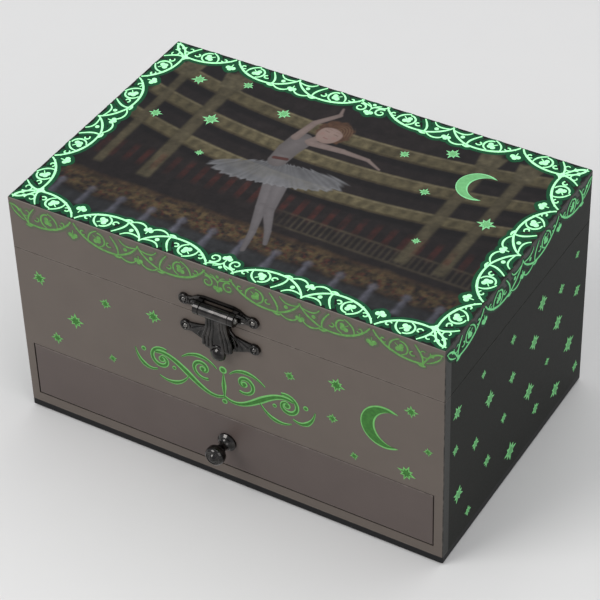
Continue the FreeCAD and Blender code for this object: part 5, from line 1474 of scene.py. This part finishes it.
@dataclass
class Ballerina:
    """Turning figure: a slim moulded dancer on a coil spring, with three gathered layers of net.

    A layer of net is its reach from the axis, its rise to the rim, its number of gathers and where they start.
    """

    finishes: Finishes
    coils: float = 6.5
    wire: float = 0.32
    layers: tuple = ((8.3, 0.9, 17, 0.0), (7.6, 0.1, 15, 1.1), (6.8, -0.7, 13, 2.3))
    hole: float = 1.45
    cell: float = 0.3

    def build(self) -> None:
        """Makes the spring, the figure and the skirt."""
        low, high = edges_of("dancer_figure")
        spindle = edges_of("dancer_spindle")
        self.x, self.y = (spindle[0] + spindle[1])[:2] / 2
        self.foot, self.tall = low[2], high[2] - low[2]
        self._spring()
        self._figure()
        self._skirt()

    def _spring(self) -> None:
        """Coil spring: a helix that closes up at both ends."""
        low, high = edges_of("figure_spring")
        share = np.linspace(0, 1, 320)
        turn = 2 * np.pi * self.coils * share
        rise = self.wire + (high[2] - low[2] - 2 * self.wire) * (share - np.sin(2 * np.pi * share) / (2 * np.pi) * 0.35)
        radius = (high[0] - low[0]) / 2 - self.wire
        path = np.stack([self.x + radius * np.cos(turn), self.y + radius * np.sin(turn), low[2] + rise], axis=1)
        verts, faces = sweep(path, np.full(len(path), self.wire), 10)
        spring = make_piece("figure_coil", verts, faces, Body.DANCER, self.finishes.steel)
        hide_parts("figure_spring")

    def _bar(self, points: tuple, radii: tuple, count: int) -> Skin:
        """Limb along a Bezier line through shares of the figure's height, rounded off at both ends."""
        line = bend(*points, count=count)
        share = np.linspace(0, 1, count)
        size = np.interp(share, np.linspace(0, 1, len(radii)), radii)
        size = size * np.clip(1 - (2 * share - 1) ** 20, 0.02, 1) ** 0.5
        return sweep(line * self.tall + (self.x, self.y, self.foot), size * self.tall, 20)

    def _figure(self) -> None:
        """Limbs, trunk and head as one piece with painted parts, laid out in shares of the figure's height."""
        skin, shoe, dress, hair = ink(240, 200, 178), ink(238, 170, 180), ink(244, 206, 214), ink(92, 58, 38)
        tights, stand, lips = ink(246, 222, 214), ink(238, 230, 228), ink(196, 96, 104)
        bars = [
            (stand, ((0, 0, 0), (0, 0, 0.014), (0, 0, 0.028)), (0.078, 0.078, 0.078), 8),
            (shoe, ((0, 0, 0.02), (0.002, 0, 0.06), (0.004, 0, 0.125)), (0.018, 0.024, 0.029), 26),
            (tights, ((0.004, 0, 0.1), (0.01, 0.012, 0.2), (0, -0.004, 0.3), (0.002, 0, 0.48)),
             (0.024, 0.034, 0.032, 0.044, 0.05), 26),
            (tights, ((0.01, -0.02, 0.46), (0.06, -0.05, 0.4), (0.1, -0.077, 0.333)), (0.05, 0.045, 0.036), 26),
            (tights, ((0.1, -0.077, 0.333), (0.08, -0.07, 0.27), (0.03, -0.045, 0.205)), (0.036, 0.032, 0.022), 26),
            (shoe, ((0.04, -0.05, 0.222), (0.028, -0.044, 0.2), (0.016, -0.04, 0.165)), (0.026, 0.024, 0.013), 26),
            (dress, ((0, 0, 0.44), (0, 0.004, 0.5), (0, 0, 0.56)), (0.066, 0.07, 0.052), 26),
            (dress, ((0, 0, 0.54), (0, -0.008, 0.6), (0, 0, 0.675)), (0.05, 0.062, 0.075, 0.066), 26),
            (skin, ((0, 0, 0.655), (0, 0, 0.69), (0, 0, 0.735)), (0.06, 0.034, 0.028, 0.028), 26),
        ]
        balls = [
            (tights, (0.1, -0.077, 0.333), (0.036, 0.036, 0.036)), (skin, (0, 0, 0.798), (0.056, 0.06, 0.068)),
            (hair, (0, 0.012, 0.812), (0.06, 0.06, 0.06)), (hair, (0, 0.022, 0.872), (0.032, 0.032, 0.028)),
        ]
        arm = ((0.055, 0, 0.665), (0.14, 0, 0.68), (0.235, -0.02, 0.82), (0.16, -0.03, 0.97), (0.03, -0.03, 0.978))
        eye = ((0.028, -0.062, 0.806), (0.022, -0.0625, 0.804), (0.016, -0.062, 0.806))
        fine = [
            (colour, tuple((side * x, y, z) for x, y, z in line), radii, count) for side in (-1, 1)
            for colour, line, radii, count in (
                (skin, arm, (0.03, 0.025, 0.022, 0.02, 0.013), 40), (hair, eye, (0.003, 0.0035, 0.003), 8),
            )
        ]
        mouth = ((-0.01, -0.0575, 0.772), (0, -0.06, 0.769), (0.01, -0.0575, 0.772))
        fine.append((lips, mouth, (0.003, 0.004, 0.003), 8))
        parts = [(self._bar(*shape), colour) for colour, *shape in bars]
        parts += [(self._ball(*shape), colour) for colour, *shape in balls]
        parts += [(self._bar(*shape), colour) for colour, *shape in fine]
        verts, faces = merge([mesh for mesh, _ in parts])
        figure = make_piece("ballerina_figure", verts, faces, Body.DANCER, self.finishes.figure)
        paint_points(figure, "paint", np.vstack([np.tile(colour[:3], (len(mesh[0]), 1)) for mesh, colour in parts]))
        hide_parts("dancer_figure")

    def _ball(self, place: Triple, size: Triple) -> Skin:
        """Egg: an ellipsoid whose lower half narrows a little."""
        height = np.cos(np.linspace(np.pi - 0.05, 0.05, 22))[:, None]
        angle = np.linspace(0, 2 * np.pi, 26, endpoint=False)[None, :]
        reach = np.sqrt(1 - height**2) * (1 - 0.16 * np.clip(-height, 0, 1))
        x, y = reach * np.cos(angle) * size[0] + place[0], reach * np.sin(angle) * size[1] + place[1]
        z = np.broadcast_to(place[2] + height * size[2], x.shape)
        return closed_loft(np.stack([x, y, z], axis=-1) * self.tall + (self.x, self.y, self.foot))

    def _skirt(self) -> None:
        """Layers of net: each a stamped disc whose rim is crimped, in waves that grow with the square of the radius."""
        waist, rings, around = self.foot + 0.53 * self.tall, 26, 240
        for n, (reach, rise, gathers, start) in enumerate(self.layers):
            share = np.linspace(0, 1, rings)[:, None]
            angle = np.linspace(0, 2 * np.pi, around, endpoint=False)[None, :]
            radius = self.hole + (reach - self.hole) * share
            wave = np.sin(gathers * angle + start) + 0.4 * np.sin(2 * gathers * angle + 3 * start)
            height = waist - 0.3 * n + rise * share - 0.5 * share**2 + 0.36 * share**2 * wave
            swing = angle + 0.05 * share**2 * np.cos(gathers * angle + start)
            verts = np.stack([self.x + radius * np.cos(swing), self.y + radius * np.sin(swing), height], axis=-1)
            faces = loft_faces(rings, around)[:, ::-1]
            layer = make_piece(
                f"tutu_net_{n + 1}", verts.reshape(-1, 3), faces, Body.DANCER, self.finishes.tulle
            )
            plan = np.stack(np.broadcast_arrays(radius * angle / self.cell, radius / self.cell), axis=-1).reshape(-1, 2)
            corners = np.array([loop.vertex_index for loop in layer.data.loops])
            layer.data.uv_layers.new(name="UVMap").data.foreach_set("uv", plan[corners].ravel().astype(np.float32))
            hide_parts("dancer_tutu")


@dataclass
class Trims:
    """Twisted cord glued round the mirror, the tray's rim, the stage and the drawer's lining."""

    finishes: Finishes
    cord: float = 0.75
    corner: float = 1.6
    spacing: float = 0.6
    strand_pitch: float = 4.2
    strands: int = 3

    def build(self) -> None:
        """Makes the four loops of cord."""
        low, high = edges_of("mirror")
        self._loop("mirror_piping", Body.LID, low[:2] - 0.5, high[:2] + 0.5, high[2] - self.cord, self.cord)
        low, high = edges_of("floor_lining")
        rim = edges_of("lining_front")[1][2]
        self._loop("tray_piping", Body.CASE, low[:2] - 0.1, high[:2] + 0.1, rim + 0.35, self.cord)
        low, high = edges_of("stage_panel")
        self._loop("stage_piping", Body.CASE, low[:2] + 0.5, high[:2] - (0.5, 0.9), high[2] + 0.3, self.cord * 0.8)
        low, high = edges_of("drawer_lining")
        self._loop("drawer_piping", Body.DRAWER, low[:2] + 0.7, high[:2] - 0.7, high[2] + 0.2, self.cord * 0.8)

    def _loop(self, name: str, body: Body, low: np.ndarray, high: np.ndarray, level: float, radius: float) -> None:
        """Cord round a rectangle with rounded corners: a path of four runs and four quarter arcs, evenly spaced."""
        corner, middle, half = self.corner, (low + high) / 2, (high - low) / 2
        quarter = np.linspace(0, np.pi / 2, 8)
        path = []
        for n, (sx, sy) in enumerate(((1, 1), (-1, 1), (-1, -1), (1, -1))):
            angle = quarter + n * np.pi / 2
            path.append(middle + (sx, sy) * (half - corner) + corner * np.stack([np.cos(angle), np.sin(angle)], axis=1))
        line = np.vstack(path + [path[0][:1]])
        run = np.concatenate([[0], np.cumsum(np.linalg.norm(np.diff(line, axis=0), axis=1))])
        even = np.linspace(0, run[-1], int(run[-1] / self.spacing), endpoint=False)
        points = np.stack([np.interp(even, run, line[:, k]) for k in (0, 1)] + [np.full(len(even), level)], axis=1)
        turns = round(run[-1] / self.strand_pitch)
        verts, faces = sweep(points, np.full(len(points), radius), 14, self.strands, turns, 0.3, ring=True)
        make_piece(name, verts, faces, body, self.finishes.piping)


# ---------------------------------------------------------------- studio
@dataclass
class Studio:
    """Pale floor, soft lights and the camera."""

    azimuth: float = 31.62
    elevation: float = 39.66
    roll: float = -1.95
    place: Triple = (384.6, -628.1, 659.8)
    lens: float = 143.44
    world_light: float = 0.55
    world_colour: Colour = (0.93, 0.95, 1.0, 1.0)
    floor_half: float = 6.0

    def build(self) -> None:
        """Makes the whole studio."""
        self._floor()
        self._lights()
        self._camera()

    def _floor(self) -> None:
        """A wide, plain, pale floor."""
        paint = Material("studio_floor")
        grain = paint.group(GRAIN, Scale=60.0, Spread=0.03)
        paint.set(Base_Color=paint.tint(ink(214, 213, 211), grain["Shade"]), Roughness=0.75)
        size = self.floor_half
        corners = [(-size, -size, 0), (size, -size, 0), (size, size, 0), (-size, size, 0)]
        mesh = bpy.data.meshes.new("studio_floor")
        mesh.from_pydata(corners, [], [(0, 1, 2, 3)])
        mesh.materials.append(paint.made)
        show("studio_floor", mesh)

    def _lights(self) -> None:
        """A soft key from the front left, a broad fill from the right and an overhead panel, with an even world."""
        aim = Vector((0, 0, 0.05))
        for name, spot, size, power in (
            ("key", (-0.75, -1.05, 1.25), 0.9, 15.0), ("fill", (1.35, -0.6, 0.9), 1.2, 7.0),
            ("top", (0.1, 0.5, 1.6), 1.3, 9.0),
        ):
            light = bpy.data.lights.new(name, "AREA")
            light.energy, light.size = power, size
            lamp = show(name, light)
            lamp.location = spot
            lamp.rotation_mode = "QUATERNION"
            lamp.rotation_quaternion = (aim - Vector(spot)).to_track_quat("-Z", "Y")
        world = bpy.data.worlds.new("studio")
        world.use_nodes = True
        background = world.node_tree.nodes["Background"].inputs
        background["Color"].default_value, background["Strength"].default_value = self.world_colour, self.world_light
        bpy.context.scene.world = world
        bpy.context.scene.view_settings.view_transform = "Standard"

    def _camera(self) -> None:
        """Camera from its azimuth, elevation and roll."""
        a, e, r = (math.radians(v) for v in (self.azimuth, self.elevation, self.roll))
        back = Vector((math.sin(a) * math.cos(e), -math.cos(a) * math.cos(e), math.sin(e)))
        level = Vector((math.cos(a), math.sin(a), 0))
        upright = back.cross(level)
        right, up = level * math.cos(r) + upright * math.sin(r), upright * math.cos(r) - level * math.sin(r)
        data = bpy.data.cameras.new("camera")
        data.lens, data.sensor_width, data.clip_start = self.lens, 36.0, 0.01
        camera = show("camera", data)
        turn = Matrix((right, up, back)).transposed().to_4x4()
        camera.matrix_world = Matrix.Translation(Vector(self.place) * MM) @ turn
        bpy.context.scene.camera = camera


def main() -> None:
    """Builds the looks of the box in order."""
    logging.basicConfig(level=logging.INFO, format="%(message)s")
    finishes = Finishes()
    for part in (
        Dresser(finishes), LidPicture(finishes), GlowPrints(finishes), RingRolls(finishes), Ballerina(finishes),
        Trims(finishes), Studio(),
    ):
        part.build()


if __name__ == "__main__":
    main()
